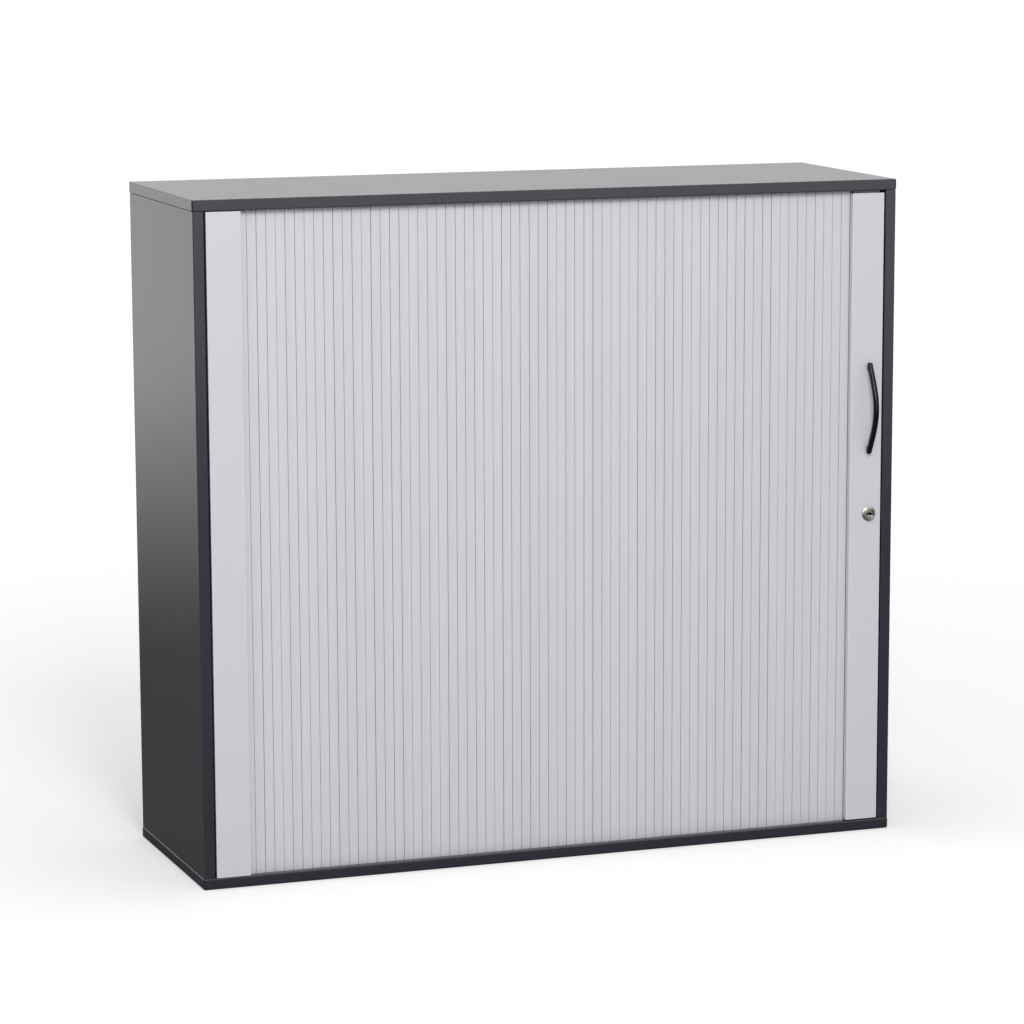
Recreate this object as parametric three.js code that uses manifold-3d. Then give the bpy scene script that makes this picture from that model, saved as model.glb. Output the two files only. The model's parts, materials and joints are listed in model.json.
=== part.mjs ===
// Tambour door cabinet, in millimetres, +Z up.
// The front faces -Y and +X is to the right of someone standing in front of it.
// The origin lies on the floor, under the middle of the carcass.
// One slatted curtain runs in grooved tracks: along the front, round the left corner,
// down the left side and behind the inner back. A pull panel leads it.

import * as THREE from "three";
import { mergeVertices } from "three/addons/utils/BufferGeometryUtils.js";
import Module from "manifold-3d";

const wasm = await Module();
wasm.setup();

// Carcass of faced boards
const cabinetWidth = 1200;
const cabinetHeight = 1100;
const cabinetDepth = 390;
const boardThickness = 18;
const boardOverhang = 1;
const boardCornerRadius = 4;
const boardEdgeRadius = 2;
const backThickness = 8;
const shelfLevels = 2;
const shelfBays = 2;
const shelfSetback = 5;

// Fits shared by all pieces
const seatGap = 0.3;
const cutOverrun = 2;

// Curtain of slats joined by thin hinge strips at mid thickness
const curtainRecess = 13;
const slatPitch = 15.62;
const slatThickness = 5;
const slatGroove = 0.9;
const slatEdgeRadius = 0.4;
const slatHinge = 0.9;
const tailSlats = 5;
const hookBead = 3;
const beadPlay = 2;

// Track that the slat ends run in
const slatPlay = 1.25;
const trackWall = 1.2;
const trackDepth = 8;
const turnRadius = 35;
const trackMargin = 5.5;
const linerPlay = 9;
const innerBackInset = 6;
const turnPlay = 2;
const topTrackPlay = 2.5;
const trackStopLength = 14;

// Upright front panels: one fixed at the left, one that leads the curtain
const panelSetback = 1.5;
const panelWall = 2.2;
const panelEdgeRadius = 1.2;
const fixedPanelWidth = 56.6;
const fixedPanelDepth = 9.5;
const fixedPanelSideGap = 3.1;
const fixedPanelTopGap = 1.2;
const clipHeight = 30;
const leadingPanelWidth = 56.4;
const leadingPanelDepth = 18.5;
const leadingPanelSideGap = 2.6;
const leadingPanelTopGap = 4.2;
const leadingPanelBottomGap = 2;
const openGap = 1.8;
const leadingPanelLip = 9;
const socketWall = 1.5;
const hookPlay = 0.6;
const capThickness = 2;
const capPlugHeight = 12;
const glideInset = 4;

// Bow handle
const handleLength = 153.2;
const handleReach = 27.8;
const handleEndRadius = 4.6;
const handleMiddleRadius = 4.8;
const handleFootFlat = 0.7;
const handleFootWidth = 6.4;
const handleFootLength = 19;
const handleAboveLock = 101.5;
const handleInset = 24.5;
const handleScrewInset = 12.6;
const handleScrewRadius = 1.7;
const handleScrewGrip = 8;
const handleScrewHeadRadius = 4;
const handleScrewHeadHeight = 2.4;

// Fullness of the bow: its rise is a sine raised to this share
const bowFullnessShare = 1.2;

// Cylinder lock with a hooked cam
const lockHeight = 543;
const lockInset = 21.7;
const lockFlangeRadius = 12;
const lockFlangeThickness = 2;
const lockFlangeRim = 0.8;
const lockStepRadius = 9.6;
const lockStepHeight = 6.6;
const lockChamfer = 0.7;
const lockBodyRadius = 8.9;
const lockBodyLength = 11;
const lockNutWidth = 24;
const lockNutThickness = 4;
const plugRadius = 6.8;
const plugRecess = 3.4;
const keywayLength = 8.6;
const keywayHeight = 1.7;
const keywayDepth = 5;
const keywayWardHeight = 1.5;
const keywayWardLength = 2.4;
const plugTailWidth = 6;
const camThickness = 2;
const camHubRadius = 8.5;
const camHookInnerRadius = 28.5;
const camHookWidth = 4.5;
const camArmWidth = 6;
const camScrewHeadRadius = 4.4;
const camScrewHeadHeight = 2.6;
const camScrewRadius = 1.5;
const camScrewGrip = 3;

// Angles of the hook at rest, from +X towards +Z, and the turn that throws it
const hookTipAngle = THREE.MathUtils.degToRad(82);
const hookRootAngle = THREE.MathUtils.degToRad(128);
const camArmAngle = THREE.MathUtils.degToRad(124);
const lockTurn = THREE.MathUtils.degToRad(90);

// Strike plate let into the right side panel
const strikeThickness = 1.5;
const strikeWidth = 18;
const strikeHeight = 54;
const strikeCornerRadius = 4;
const strikePlay = 0.8;

// Rubber buffers that the leading panel closes against
const bufferRadius = 4;
const bufferThickness = 3;
const bufferInset = 150;

// Shelf pins
const pinRadius = 2.5;
const pinShank = 6.6;
const pinCollarRadius = 4.5;
const pinCollar = 1.6;
const pinNoseRadius = 3.4;
const pinNose = 8;
const pinInset = 45;

// Cam fittings that draw the side panels against the top and bottom
const fittingDiscRadius = 7.5;
const fittingDiscDepth = 12.5;
const fittingDiscInset = 24;
const fittingBoltRadius = 3;
const fittingBoltGrip = 10;
const fittingInset = 70;

// Colours as they look in soft daylight
const carcassFinish = { color: 0x41444d, roughness: 0.42, metalness: 0 };
const backFinish = { color: 0x44474f, roughness: 0.5, metalness: 0 };
const panelFinish = { color: 0xd0d2d6, roughness: 0.4, metalness: 0 };
const slatFinish = { color: 0xcccbcf, roughness: 0.5, metalness: 0 };
const trackFinish = { color: 0x3a3c42, roughness: 0.5, metalness: 0 };
const glideFinish = { color: 0x8d8f93, roughness: 0.5, metalness: 0 };
const handleFinish = { color: 0x2a2b30, roughness: 0.35, metalness: 0.2 };
const nickelFinish = { color: 0xb9b3a6, roughness: 0.28, metalness: 0.9 };
const steelFinish = { color: 0xa9abad, roughness: 0.35, metalness: 0.9 };
const zincFinish = { color: 0x9b9c9e, roughness: 0.4, metalness: 0.85 };
const rubberFinish = { color: 0x26272a, roughness: 0.85, metalness: 0 };

// Planes of the carcass
const sideOuter = cabinetWidth / 2 - boardOverhang;
const sideInner = sideOuter - boardThickness;
const carcassFront = -cabinetDepth / 2;
const sideFront = carcassFront + boardOverhang;
const sideRear = cabinetDepth / 2 - boardOverhang;
const floorTop = boardThickness;
const ceiling = cabinetHeight - boardThickness;
const backFront = sideRear - backThickness;

// Centre lines and turns of the track
const slotWidth = slatThickness + 2 * slatPlay;
const trackWidth = slotWidth + 2 * trackWall;
const frontRunY = carcassFront + curtainRecess + slatThickness / 2;
const sideRunX = -sideInner + trackMargin + trackWidth / 2;
const rearRunY = backFront - trackMargin - trackWidth / 2;
const turnX = sideRunX + turnRadius;
const frontTurnY = frontRunY + turnRadius;
const rearTurnY = rearRunY - turnRadius;
const quarterTurn = turnRadius * Math.PI / 2;

// Each slat is cut back at the rear, so that it clears the next one in the turn
const slatTurn = slatPitch / turnRadius;
const slatRelief = slatThickness / 2 * Math.tan(slatTurn / 2) + seatGap;

// Panels, travel and curtain
const panelFace = carcassFront + panelSetback;
const fixedLeft = -sideInner + fixedPanelSideGap;
const fixedRight = fixedLeft + fixedPanelWidth;
const leadingRight = sideInner - leadingPanelSideGap;
const leadingLeft = leadingRight - leadingPanelWidth;
const leadingBottom = floorTop + leadingPanelBottomGap;
const leadingTop = ceiling - leadingPanelTopGap;
const curtainBack = frontRunY + slatThickness / 2;
const curtainStart = leadingLeft - slatGroove / 2 - seatGap;
const slatCount = Math.ceil((leadingLeft - fixedRight) / slatPitch) + tailSlats;
const trackFloor = floorTop - trackDepth + seatGap + trackWall;
const curtainBottom = trackFloor + seatGap;
const curtainTop = ceiling + trackDepth - trackWall - topTrackPlay;
const beadLeft = leadingLeft + panelWall + beadPlay;
const socketLeft = beadLeft + hookBead + hookPlay;

// The opened curtain fills the track from the fixed panel to its end stop
const frontRunLength = curtainStart - turnX;
const sideRunLength = rearTurnY - frontTurnY;
const doorTravel = leadingLeft - fixedRight - openGap;
const storedLength = doorTravel + slatCount * slatPitch + slatPitch;
const rearRunLength = storedLength - frontRunLength - sideRunLength - 2 * quarterTurn;
const trackEndX = turnX + rearRunLength + trackStopLength;

// Inner walls keep clear of the curtain as it turns
const linerLeft = sideRunX + trackWidth / 2 + linerPlay;
const linerRight = linerLeft + boardThickness;
const turnReach = turnRadius - slatThickness / 2 - turnPlay;
const linerOffset = Math.max(turnX - linerLeft, linerRight - turnX);
const linerRise = Math.sqrt(Math.max(turnReach ** 2 - linerOffset ** 2, 0));
const innerFront = frontTurnY - linerRise;
const innerBackRear = rearRunY - trackWidth / 2 - trackMargin;
const innerBackFront = innerBackRear - backThickness;
const innerBackLeft = linerLeft + innerBackInset;
const innerRear = innerBackFront - seatGap;

// Storage bays
const baySpan = (sideInner - linerRight - (shelfBays - 1) * boardThickness) / shelfBays;
const shelfSpan = (ceiling - floorTop - shelfLevels * boardThickness) / (shelfLevels + 1);
const shelfFront = innerFront + shelfSetback;
const shelfRear = innerRear - shelfSetback;

// Handle and lock axis
const handleX = leadingRight - handleInset;
const lockX = leadingRight - lockInset;
const handleCentreHeight = lockHeight + handleAboveLock + handleLength / 2;
const handleScrewSpacing = handleLength - 2 * handleScrewInset;
const lockBack = panelFace + lockBodyLength;
const camFront = lockBack + seatGap;
const camBack = camFront + camThickness;
const hookOuterRadius = camHookInnerRadius + camHookWidth;
const lockCentre = [lockX, lockHeight];
const lockFront = panelFace - lockStepHeight - seatGap;

const unitX = new THREE.Vector3(1, 0, 0);
const unitY = new THREE.Vector3(0, 1, 0);
const unitZ = new THREE.Vector3(0, 0, 1);
const cabinet = new THREE.Group();

// A three.js geometry as a solid for joining and cutting
function toSolid(geometry) {
  const bare = geometry.clone();
  bare.deleteAttribute("normal");
  bare.deleteAttribute("uv");
  const welded = mergeVertices(bare);
  const mesh = new wasm.Mesh({
    numProp: 3,
    vertProperties: new Float32Array(welded.attributes.position.array),
    triVerts: new Uint32Array(welded.index.array),
  });
  return new wasm.Manifold(mesh);
}

// A solid as a three.js geometry
function toGeometry(solid) {
  const mesh = solid.getMesh();
  const geometry = new THREE.BufferGeometry();
  geometry.setAttribute("position", new THREE.BufferAttribute(mesh.vertProperties, mesh.numProp));
  geometry.setIndex(new THREE.BufferAttribute(mesh.triVerts, 1));
  geometry.computeVertexNormals();
  return geometry;
}

function cut(solid, cutters) {
  return cutters.reduce((rest, cutter) => rest.subtract(cutter), solid);
}

function join(solids) {
  return solids.reduce((whole, solid) => whole.add(solid));
}

function place(name, solid, finish) {
  const mesh = new THREE.Mesh(toGeometry(solid), new THREE.MeshStandardMaterial(finish));
  mesh.name = name;
  cabinet.add(mesh);
}

// A block between two opposite corners
function block(low, high) {
  const size = high.map((value, axis) => value - low[axis]);
  const geometry = new THREE.BoxGeometry(...size);
  geometry.translate(...low.map((value, axis) => value + size[axis] / 2));
  return toSolid(geometry);
}

// A prism of a plan outline between two heights
function upright(shape, low, high, curveSegments = 4) {
  const geometry = new THREE.ExtrudeGeometry(shape, {
    depth: high - low,
    bevelEnabled: false,
    curveSegments,
  });
  geometry.translate(0, 0, low);
  return toSolid(geometry);
}

// A prism of an outline in Y and Z between two places on X
function alongX(shape, low, high, curveSegments = 4) {
  const geometry = new THREE.ExtrudeGeometry(shape, {
    depth: high - low,
    bevelEnabled: false,
    curveSegments,
  });
  geometry.applyMatrix4(new THREE.Matrix4().makeBasis(unitY, unitZ, unitX));
  geometry.translate(low, 0, 0);
  return toSolid(geometry);
}

// A prism of an outline in X and Z between two places on Y
function alongY(shape, low, high, curveSegments = 4) {
  const geometry = new THREE.ExtrudeGeometry(shape, {
    depth: high - low,
    bevelEnabled: false,
    curveSegments,
  });
  geometry.rotateX(Math.PI / 2);
  geometry.translate(0, high, 0);
  return toSolid(geometry);
}

// A turned piece about the Y axis through a centre: its outline is radius and place on Y
function turnedAlongY(outline, centre, segments = 24) {
  const points = outline.map(([radius, y]) => new THREE.Vector2(radius, y));
  const geometry = new THREE.LatheGeometry(points, segments);
  geometry.translate(centre[0], 0, centre[1]);
  return toSolid(geometry);
}

// A turned piece about the X axis through a centre: its outline is radius and place on X
function turnedAlongX(outline, centre, segments = 10) {
  const points = outline.map(([radius, x]) => new THREE.Vector2(radius, x));
  const geometry = new THREE.LatheGeometry(points, segments);
  geometry.applyMatrix4(new THREE.Matrix4().makeBasis(unitY, unitX, unitZ.clone().negate()));
  geometry.translate(0, centre[0], centre[1]);
  return toSolid(geometry);
}

function cylinderX(radius, low, high, centre, segments = 10) {
  return turnedAlongX([[0, low], [radius, low], [radius, high], [0, high]], centre, segments);
}

function cylinderY(radius, low, high, centre, segments = 12) {
  return turnedAlongY([[0, low], [radius, low], [radius, high], [0, high]], centre, segments);
}

function cylinderZ(radius, low, high, centre, segments = 10) {
  const geometry = new THREE.CylinderGeometry(radius, radius, high - low, segments);
  geometry.rotateX(Math.PI / 2);
  geometry.translate(centre[0], centre[1], (low + high) / 2);
  return toSolid(geometry);
}

function roundedRectangle(left, bottom, right, top, radius) {
  const shape = new THREE.Shape();
  shape.moveTo(left + radius, bottom);
  shape.lineTo(right - radius, bottom);
  shape.absarc(right - radius, bottom + radius, radius, -Math.PI / 2, 0, false);
  shape.lineTo(right, top - radius);
  shape.absarc(right - radius, top - radius, radius, 0, Math.PI / 2, false);
  shape.lineTo(left + radius, top);
  shape.absarc(left + radius, top - radius, radius, Math.PI / 2, Math.PI, false);
  shape.lineTo(left, bottom + radius);
  shape.absarc(left + radius, bottom + radius, radius, Math.PI, Math.PI * 1.5, false);
  return shape;
}

// The band that a width takes along the track: front run, two turns, side run, rear run
function trackBand(width, rightEnd, rearEnd) {
  const half = width / 2;
  const outer = turnRadius + half;
  const inner = turnRadius - half;
  const band = new THREE.Shape();
  band.moveTo(rightEnd, frontRunY - half);
  band.lineTo(turnX, frontRunY - half);
  band.absarc(turnX, frontTurnY, outer, -Math.PI / 2, -Math.PI, true);
  band.lineTo(sideRunX - half, rearTurnY);
  band.absarc(turnX, rearTurnY, outer, Math.PI, Math.PI / 2, true);
  band.lineTo(rearEnd, rearRunY + half);
  band.lineTo(rearEnd, rearRunY - half);
  band.lineTo(turnX, rearRunY - half);
  band.absarc(turnX, rearTurnY, inner, Math.PI / 2, Math.PI, false);
  band.lineTo(sideRunX + half, frontTurnY);
  band.absarc(turnX, frontTurnY, inner, -Math.PI, -Math.PI / 2, false);
  band.lineTo(rightEnd, frontRunY + half);
  band.closePath();
  return band;
}

// Where the cam fittings stand: both side panels, near the front and near the rear
const fittingSpots = [-1, 1].flatMap((side) => [
  { side, y: sideFront + fittingInset, end: "front" },
  { side, y: sideRear - fittingInset, end: "rear" },
]);

function fittingX(side) {
  return side * (sideInner + boardThickness / 2);
}

// Top and bottom boards, with the track groove and the bores of the fittings
function capBoard(low, grooveLow, grooveHigh, boltLow, boltHigh) {
  const half = cabinetWidth / 2;
  const outline = roundedRectangle(-half, carcassFront, half, -carcassFront, boardCornerRadius);
  const geometry = new THREE.ExtrudeGeometry(outline, {
    depth: boardThickness - 2 * boardEdgeRadius,
    bevelThickness: boardEdgeRadius,
    bevelSize: boardEdgeRadius,
    bevelOffset: -boardEdgeRadius,
    bevelSegments: 2,
    curveSegments: 3,
  });
  geometry.translate(0, 0, low + boardEdgeRadius);
  const groove = trackBand(trackWidth + 2 * seatGap, sideInner, trackEndX + seatGap);
  const bores = fittingSpots.map(({ side, y }) =>
    cylinderZ(fittingBoltRadius + seatGap, boltLow, boltHigh, [fittingX(side), y], 8));
  return cut(toSolid(geometry), [upright(groove, grooveLow, grooveHigh, 10), ...bores]);
}

function topPanel() {
  const reach = ceiling + fittingBoltGrip + seatGap;
  return capBoard(ceiling, ceiling - cutOverrun, ceiling + trackDepth, ceiling - cutOverrun, reach);
}

function bottomPanel() {
  const reach = floorTop - fittingBoltGrip - seatGap;
  return capBoard(0, floorTop - trackDepth, floorTop + cutOverrun, reach, floorTop + cutOverrun);
}

// Heights where a piece stands between the boards
const standLow = floorTop + seatGap;
const standHigh = ceiling - seatGap;

// Shelf heights and the pin places on each upright
const shelfBottoms = Array.from({ length: shelfLevels }, (_, level) =>
  floorTop + (level + 1) * shelfSpan + level * boardThickness);
const pinPlacesY = [shelfFront + pinInset, shelfRear - pinInset];

function pinHeight(shelfBottom) {
  return shelfBottom - seatGap - pinNoseRadius;
}

// Blind bores for the shelf pins in the face of an upright; side is where the wood lies
function pinBores(face, side) {
  const depth = face + side * (pinShank + seatGap);
  const mouth = face - side * cutOverrun;
  const ends = [depth, mouth].sort((a, b) => a - b);
  return shelfBottoms.flatMap((shelfBottom) => pinPlacesY.map((y) =>
    cylinderX(pinRadius + seatGap, ...ends, [y, pinHeight(shelfBottom)], 8)));
}

function fittingBores(side) {
  const face = side * sideInner;
  const ends = [face - side * cutOverrun, face + side * (fittingDiscDepth + seatGap)];
  ends.sort((a, b) => a - b);
  return fittingSpots.filter((spot) => spot.side === side).flatMap(({ y }) => {
    const lowDisc = floorTop + fittingDiscInset;
    const highDisc = ceiling - fittingDiscInset;
    const boltRadius = fittingBoltRadius + seatGap;
    return [
      cylinderX(fittingDiscRadius + seatGap, ...ends, [y, lowDisc], 14),
      cylinderX(fittingDiscRadius + seatGap, ...ends, [y, highDisc], 14),
      cylinderZ(boltRadius, floorTop - cutOverrun, lowDisc, [fittingX(side), y], 8),
      cylinderZ(boltRadius, highDisc, ceiling + cutOverrun, [fittingX(side), y], 8),
    ];
  });
}

function sideOutline(side) {
  const left = Math.min(side * sideInner, side * sideOuter);
  const right = Math.max(side * sideInner, side * sideOuter);
  return roundedRectangle(left, sideFront, right, sideRear, boardEdgeRadius);
}

function leftSidePanel() {
  return cut(upright(sideOutline(-1), standLow, standHigh, 3), fittingBores(-1));
}

// How far the thrown cam's arm stands above the lock's axis, at a distance to the right of it
function thrownArmRise(distance) {
  const angle = camArmAngle - lockTurn;
  return distance * Math.tan(angle) - camArmWidth / 2 / Math.cos(angle);
}

// The hook swings through the plate into a pocket behind it
const hookReachX = lockX + hookOuterRadius + strikePlay;
const hookTipThrown = hookTipAngle - lockTurn;
const hookPocketLow = lockHeight + hookOuterRadius * Math.sin(hookTipThrown) - strikePlay;
const strikeRear = sideInner + strikeThickness;
const slotHigh = lockHeight
  + Math.sqrt((hookOuterRadius + strikePlay) ** 2 - (sideInner - lockX) ** 2);
const hookRise =
  Math.sqrt(Math.max((camHookInnerRadius - seatGap) ** 2 - (strikeRear - lockX) ** 2, 0));
const slotLow = lockHeight + Math.min(hookRise, thrownArmRise(sideInner - lockX) - strikePlay);
const strikeY = camFront + camThickness / 2;
const strikeZ = (slotHigh + hookPocketLow) / 2;
const hookChannelFront = camFront - strikePlay;
const hookChannelRear = camBack + strikePlay;

function strikeOutline(growth) {
  return roundedRectangle(
    strikeY - strikeWidth / 2 - growth,
    strikeZ - strikeHeight / 2 - growth,
    strikeY + strikeWidth / 2 + growth,
    strikeZ + strikeHeight / 2 + growth,
    strikeCornerRadius + growth,
  );
}

function bufferSpots() {
  return [leadingBottom + bufferInset, leadingTop - bufferInset];
}

const bufferY = panelFace + leadingPanelDepth / 2;
const bufferFace = leadingRight + seatGap;

function rightSidePanel() {
  const recess = alongX(strikeOutline(seatGap), sideInner - cutOverrun, strikeRear + seatGap);
  const pocket = block(
    [sideInner - cutOverrun, hookChannelFront, hookPocketLow],
    [hookReachX, hookChannelRear, slotHigh],
  );
  const bufferSeat = bufferFace + bufferThickness + seatGap;
  const buffers = bufferSpots().map((z) =>
    cylinderX(bufferRadius + seatGap, sideInner - cutOverrun, bufferSeat, [bufferY, z], 16));
  return cut(upright(sideOutline(1), standLow, standHigh, 3), [
    recess,
    pocket,
    ...buffers,
    ...fittingBores(1),
    ...pinBores(sideInner, 1),
  ]);
}

function strikePlate() {
  const slot = block(
    [sideInner - cutOverrun, hookChannelFront, slotLow],
    [strikeRear + cutOverrun, hookChannelRear, slotHigh],
  );
  return cut(alongX(strikeOutline(0), sideInner, strikeRear), [slot]);
}

function backPanel() {
  const half = sideInner - seatGap;
  return block([-half, backFront, standLow], [half, sideRear, standHigh]);
}

function innerBackPanel() {
  return block(
    [innerBackLeft, innerBackFront, standLow],
    [sideInner - seatGap, innerBackRear, standHigh],
  );
}

// Uprights inside: the liner beside the curtain's pocket and the partition between bays
function uprightBoard(left) {
  const right = left + boardThickness;
  const outline = roundedRectangle(left, innerFront, right, innerRear, boardEdgeRadius);
  return upright(outline, standLow, standHigh, 2);
}

function bayLeft(bay) {
  return linerRight + bay * (baySpan + boardThickness);
}

function linerPanel() {
  return cut(uprightBoard(linerLeft), pinBores(linerRight, -1));
}

function partition(bay) {
  const left = bayLeft(bay) - boardThickness;
  return cut(uprightBoard(left), [...pinBores(left, 1), ...pinBores(left + boardThickness, -1)]);
}

function shelf(bay, shelfBottom) {
  const left = bayLeft(bay) + pinCollar + 2 * seatGap;
  const right = bayLeft(bay) + baySpan - pinCollar - 2 * seatGap;
  const top = shelfBottom + boardThickness;
  const outline = roundedRectangle(shelfFront, shelfBottom, shelfRear, top, boardEdgeRadius);
  return alongX(outline, left, right, 2);
}

// A pin seated in an upright: side is where the wood lies
function shelfPin(face, side, y, z) {
  const shankEnd = side * pinShank;
  const collar = -side * seatGap;
  const collarEnd = collar - side * pinCollar;
  const noseEnd = collarEnd - side * pinNose;
  const outline = [
    [0, face + shankEnd],
    [pinRadius, face + shankEnd],
    [pinRadius, face + collar],
    [pinCollarRadius, face + collar],
    [pinCollarRadius, face + collarEnd],
    [pinNoseRadius, face + collarEnd],
    [pinNoseRadius, face + noseEnd],
    [0, face + noseEnd],
  ];
  if (side > 0) outline.reverse();
  return turnedAlongX(outline, [y, z], 8);
}

// A disc in the side panel with its bolt into the top or bottom board
function camFitting(side, y, end) {
  const face = side * sideInner;
  const disc = [face, face + side * fittingDiscDepth].sort((a, b) => a - b);
  const discZ = end > 0 ? ceiling - fittingDiscInset : floorTop + fittingDiscInset;
  const boltEnd = end > 0 ? ceiling + fittingBoltGrip : floorTop - fittingBoltGrip;
  const bolt = [discZ, boltEnd].sort((a, b) => a - b);
  return join([
    cylinderX(fittingDiscRadius, ...disc, [y, discZ], 14),
    cylinderZ(fittingBoltRadius, ...bolt, [fittingX(side), y], 8),
  ]);
}

// A plastic channel pressed into the groove, hollowed between the heights of its mouth
function guideTrack(low, mouthLow, mouthHigh) {
  const rightEnd = sideInner - seatGap;
  const body = upright(trackBand(trackWidth, rightEnd, trackEndX), low, low + trackDepth - seatGap, 10);
  const slotBand = trackBand(slotWidth, rightEnd + cutOverrun, trackEndX + cutOverrun);
  return cut(body, [upright(slotBand, mouthLow, mouthHigh, 10)]);
}

function upperTrack() {
  return guideTrack(ceiling, ceiling - cutOverrun, ceiling + trackDepth - seatGap - trackWall);
}

function lowerTrack() {
  return guideTrack(trackFloor - trackWall, trackFloor, floorTop + cutOverrun);
}

function trackStop(low, high) {
  const half = slotWidth / 2 - seatGap;
  return block(
    [trackEndX - trackStopLength, rearRunY - half, low],
    [trackEndX, rearRunY + half, high],
  );
}

// A place on the centre line of the track, measured from the pull panel
function trackPoint(distance) {
  if (distance <= frontRunLength) return new THREE.Vector2(curtainStart - distance, frontRunY);
  const turned = distance - frontRunLength;
  if (turned <= quarterTurn) {
    const angle = -Math.PI / 2 - turned / turnRadius;
    return new THREE.Vector2(
      turnX + turnRadius * Math.cos(angle),
      frontTurnY + turnRadius * Math.sin(angle),
    );
  }
  return new THREE.Vector2(sideRunX, frontTurnY + turned - quarterTurn);
}

// The slats are rigid between hinge lines that lie on the track, so the tail bends slat by slat
function slatFrame(index) {
  const start = trackPoint(index * slatPitch);
  const end = trackPoint((index + 1) * slatPitch);
  const along = end.clone().sub(start);
  const half = along.length() / 2;
  along.normalize();
  const outward = new THREE.Vector2(-along.y, along.x);
  const middle = start.add(end).multiplyScalar(1 / 2);
  const at = (t, n) => middle.clone().addScaledVector(along, t).addScaledVector(outward, n);
  return { half, at };
}

// A rear strip joins the first slat to the bead that the leading panel hooks
function shutterCurtain() {
  const front = slatThickness / 2;
  const rear = -slatThickness / 2;
  const strip = slatHinge / 2;
  const eased = slatEdgeRadius * (1 - Math.SQRT1_2);
  const beadRight = beadLeft + hookBead;
  const faceSide = [
    new THREE.Vector2(beadRight, curtainBack),
    new THREE.Vector2(beadRight, curtainBack - hookBead),
    new THREE.Vector2(beadLeft, curtainBack - hookBead),
    new THREE.Vector2(beadLeft, curtainBack - slatHinge),
  ];
  const rearSide = [];
  for (let index = 0; index < slatCount; index += 1) {
    const { half, at } = slatFrame(index);
    const face = half - slatGroove / 2;
    const back = half - slatRelief;
    const first = index === 0;
    faceSide.push(
      at(-face, first ? rear + slatHinge : strip),
      at(-face, front - slatEdgeRadius),
      at(-face + eased, front - eased),
      at(-face + slatEdgeRadius, front),
      at(face - slatEdgeRadius, front),
      at(face - eased, front - eased),
      at(face, front - slatEdgeRadius),
      at(face, strip),
    );
    if (first) rearSide.push(at(-face, rear));
    else rearSide.push(at(-face, -strip), at(-back, rear));
    rearSide.push(at(back, rear), at(face, -strip));
  }
  const outline = new THREE.Shape([...faceSide, ...rearSide.reverse()]);
  return upright(outline, curtainBottom, curtainTop);
}

// The start of both upright panels: a face with eased edges between two returns
function panelFaceOutline(left, right, leftDepth, rightDepth) {
  const radius = panelEdgeRadius;
  const shape = new THREE.Shape();
  shape.moveTo(left, panelFace + leftDepth);
  shape.lineTo(left, panelFace + radius);
  shape.absarc(left + radius, panelFace + radius, radius, Math.PI, Math.PI * 1.5, false);
  shape.lineTo(right - radius, panelFace);
  shape.absarc(right - radius, panelFace + radius, radius, -Math.PI / 2, 0, false);
  shape.lineTo(right, panelFace + rightDepth);
  return shape;
}

function fixedFrontPanel() {
  const rear = panelFace + fixedPanelDepth;
  const shape = panelFaceOutline(fixedLeft, fixedRight, fixedPanelDepth, fixedPanelDepth);
  shape.lineTo(fixedRight - panelWall, rear);
  shape.lineTo(fixedRight - panelWall, panelFace + panelWall);
  shape.lineTo(fixedLeft + panelWall, panelFace + panelWall);
  shape.lineTo(fixedLeft + panelWall, rear);
  return upright(shape, standLow, ceiling - fixedPanelTopGap, 3);
}

// A block screwed to the board inside the fixed panel, which clips over it
function panelClip(low) {
  const inset = panelWall + seatGap;
  return block(
    [fixedLeft + inset, panelFace + inset, low],
    [fixedRight - inset, panelFace + fixedPanelDepth, low + clipHeight],
  );
}

// Depth of the left return, which the curtain's first hinge strip passes behind
const leftReturnDepth = curtainBack - slatHinge - hookPlay - panelFace;
const leadingRear = panelFace + leadingPanelDepth;
const panelLow = leadingBottom + capThickness + seatGap;
const panelHigh = leadingTop - capThickness - seatGap;

// The leading panel's section: a C with a socket at the left that hooks the curtain's bead
function leadingOutline() {
  const inside = panelFace + panelWall;
  const lipLeft = leadingRight - leadingPanelLip;
  const socketRight = socketLeft + socketWall;
  const nibLeft = beadLeft;
  const nibFront = leadingRear - socketWall;
  const shape = panelFaceOutline(leadingLeft, leadingRight, leftReturnDepth, leadingPanelDepth);
  shape.lineTo(lipLeft, leadingRear);
  shape.lineTo(lipLeft, leadingRear - panelWall);
  shape.lineTo(leadingRight - panelWall, leadingRear - panelWall);
  shape.lineTo(leadingRight - panelWall, inside);
  shape.lineTo(socketRight, inside);
  shape.lineTo(socketRight, leadingRear);
  shape.lineTo(nibLeft, leadingRear);
  shape.lineTo(nibLeft, nibFront);
  shape.lineTo(socketLeft, nibFront);
  shape.lineTo(socketLeft, inside);
  shape.lineTo(leadingLeft + panelWall, inside);
  shape.lineTo(leadingLeft + panelWall, panelFace + leftReturnDepth);
  return shape;
}

function handleScrewHeights() {
  return [-1, 1].map((end) => handleCentreHeight + end * handleScrewSpacing / 2);
}

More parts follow.
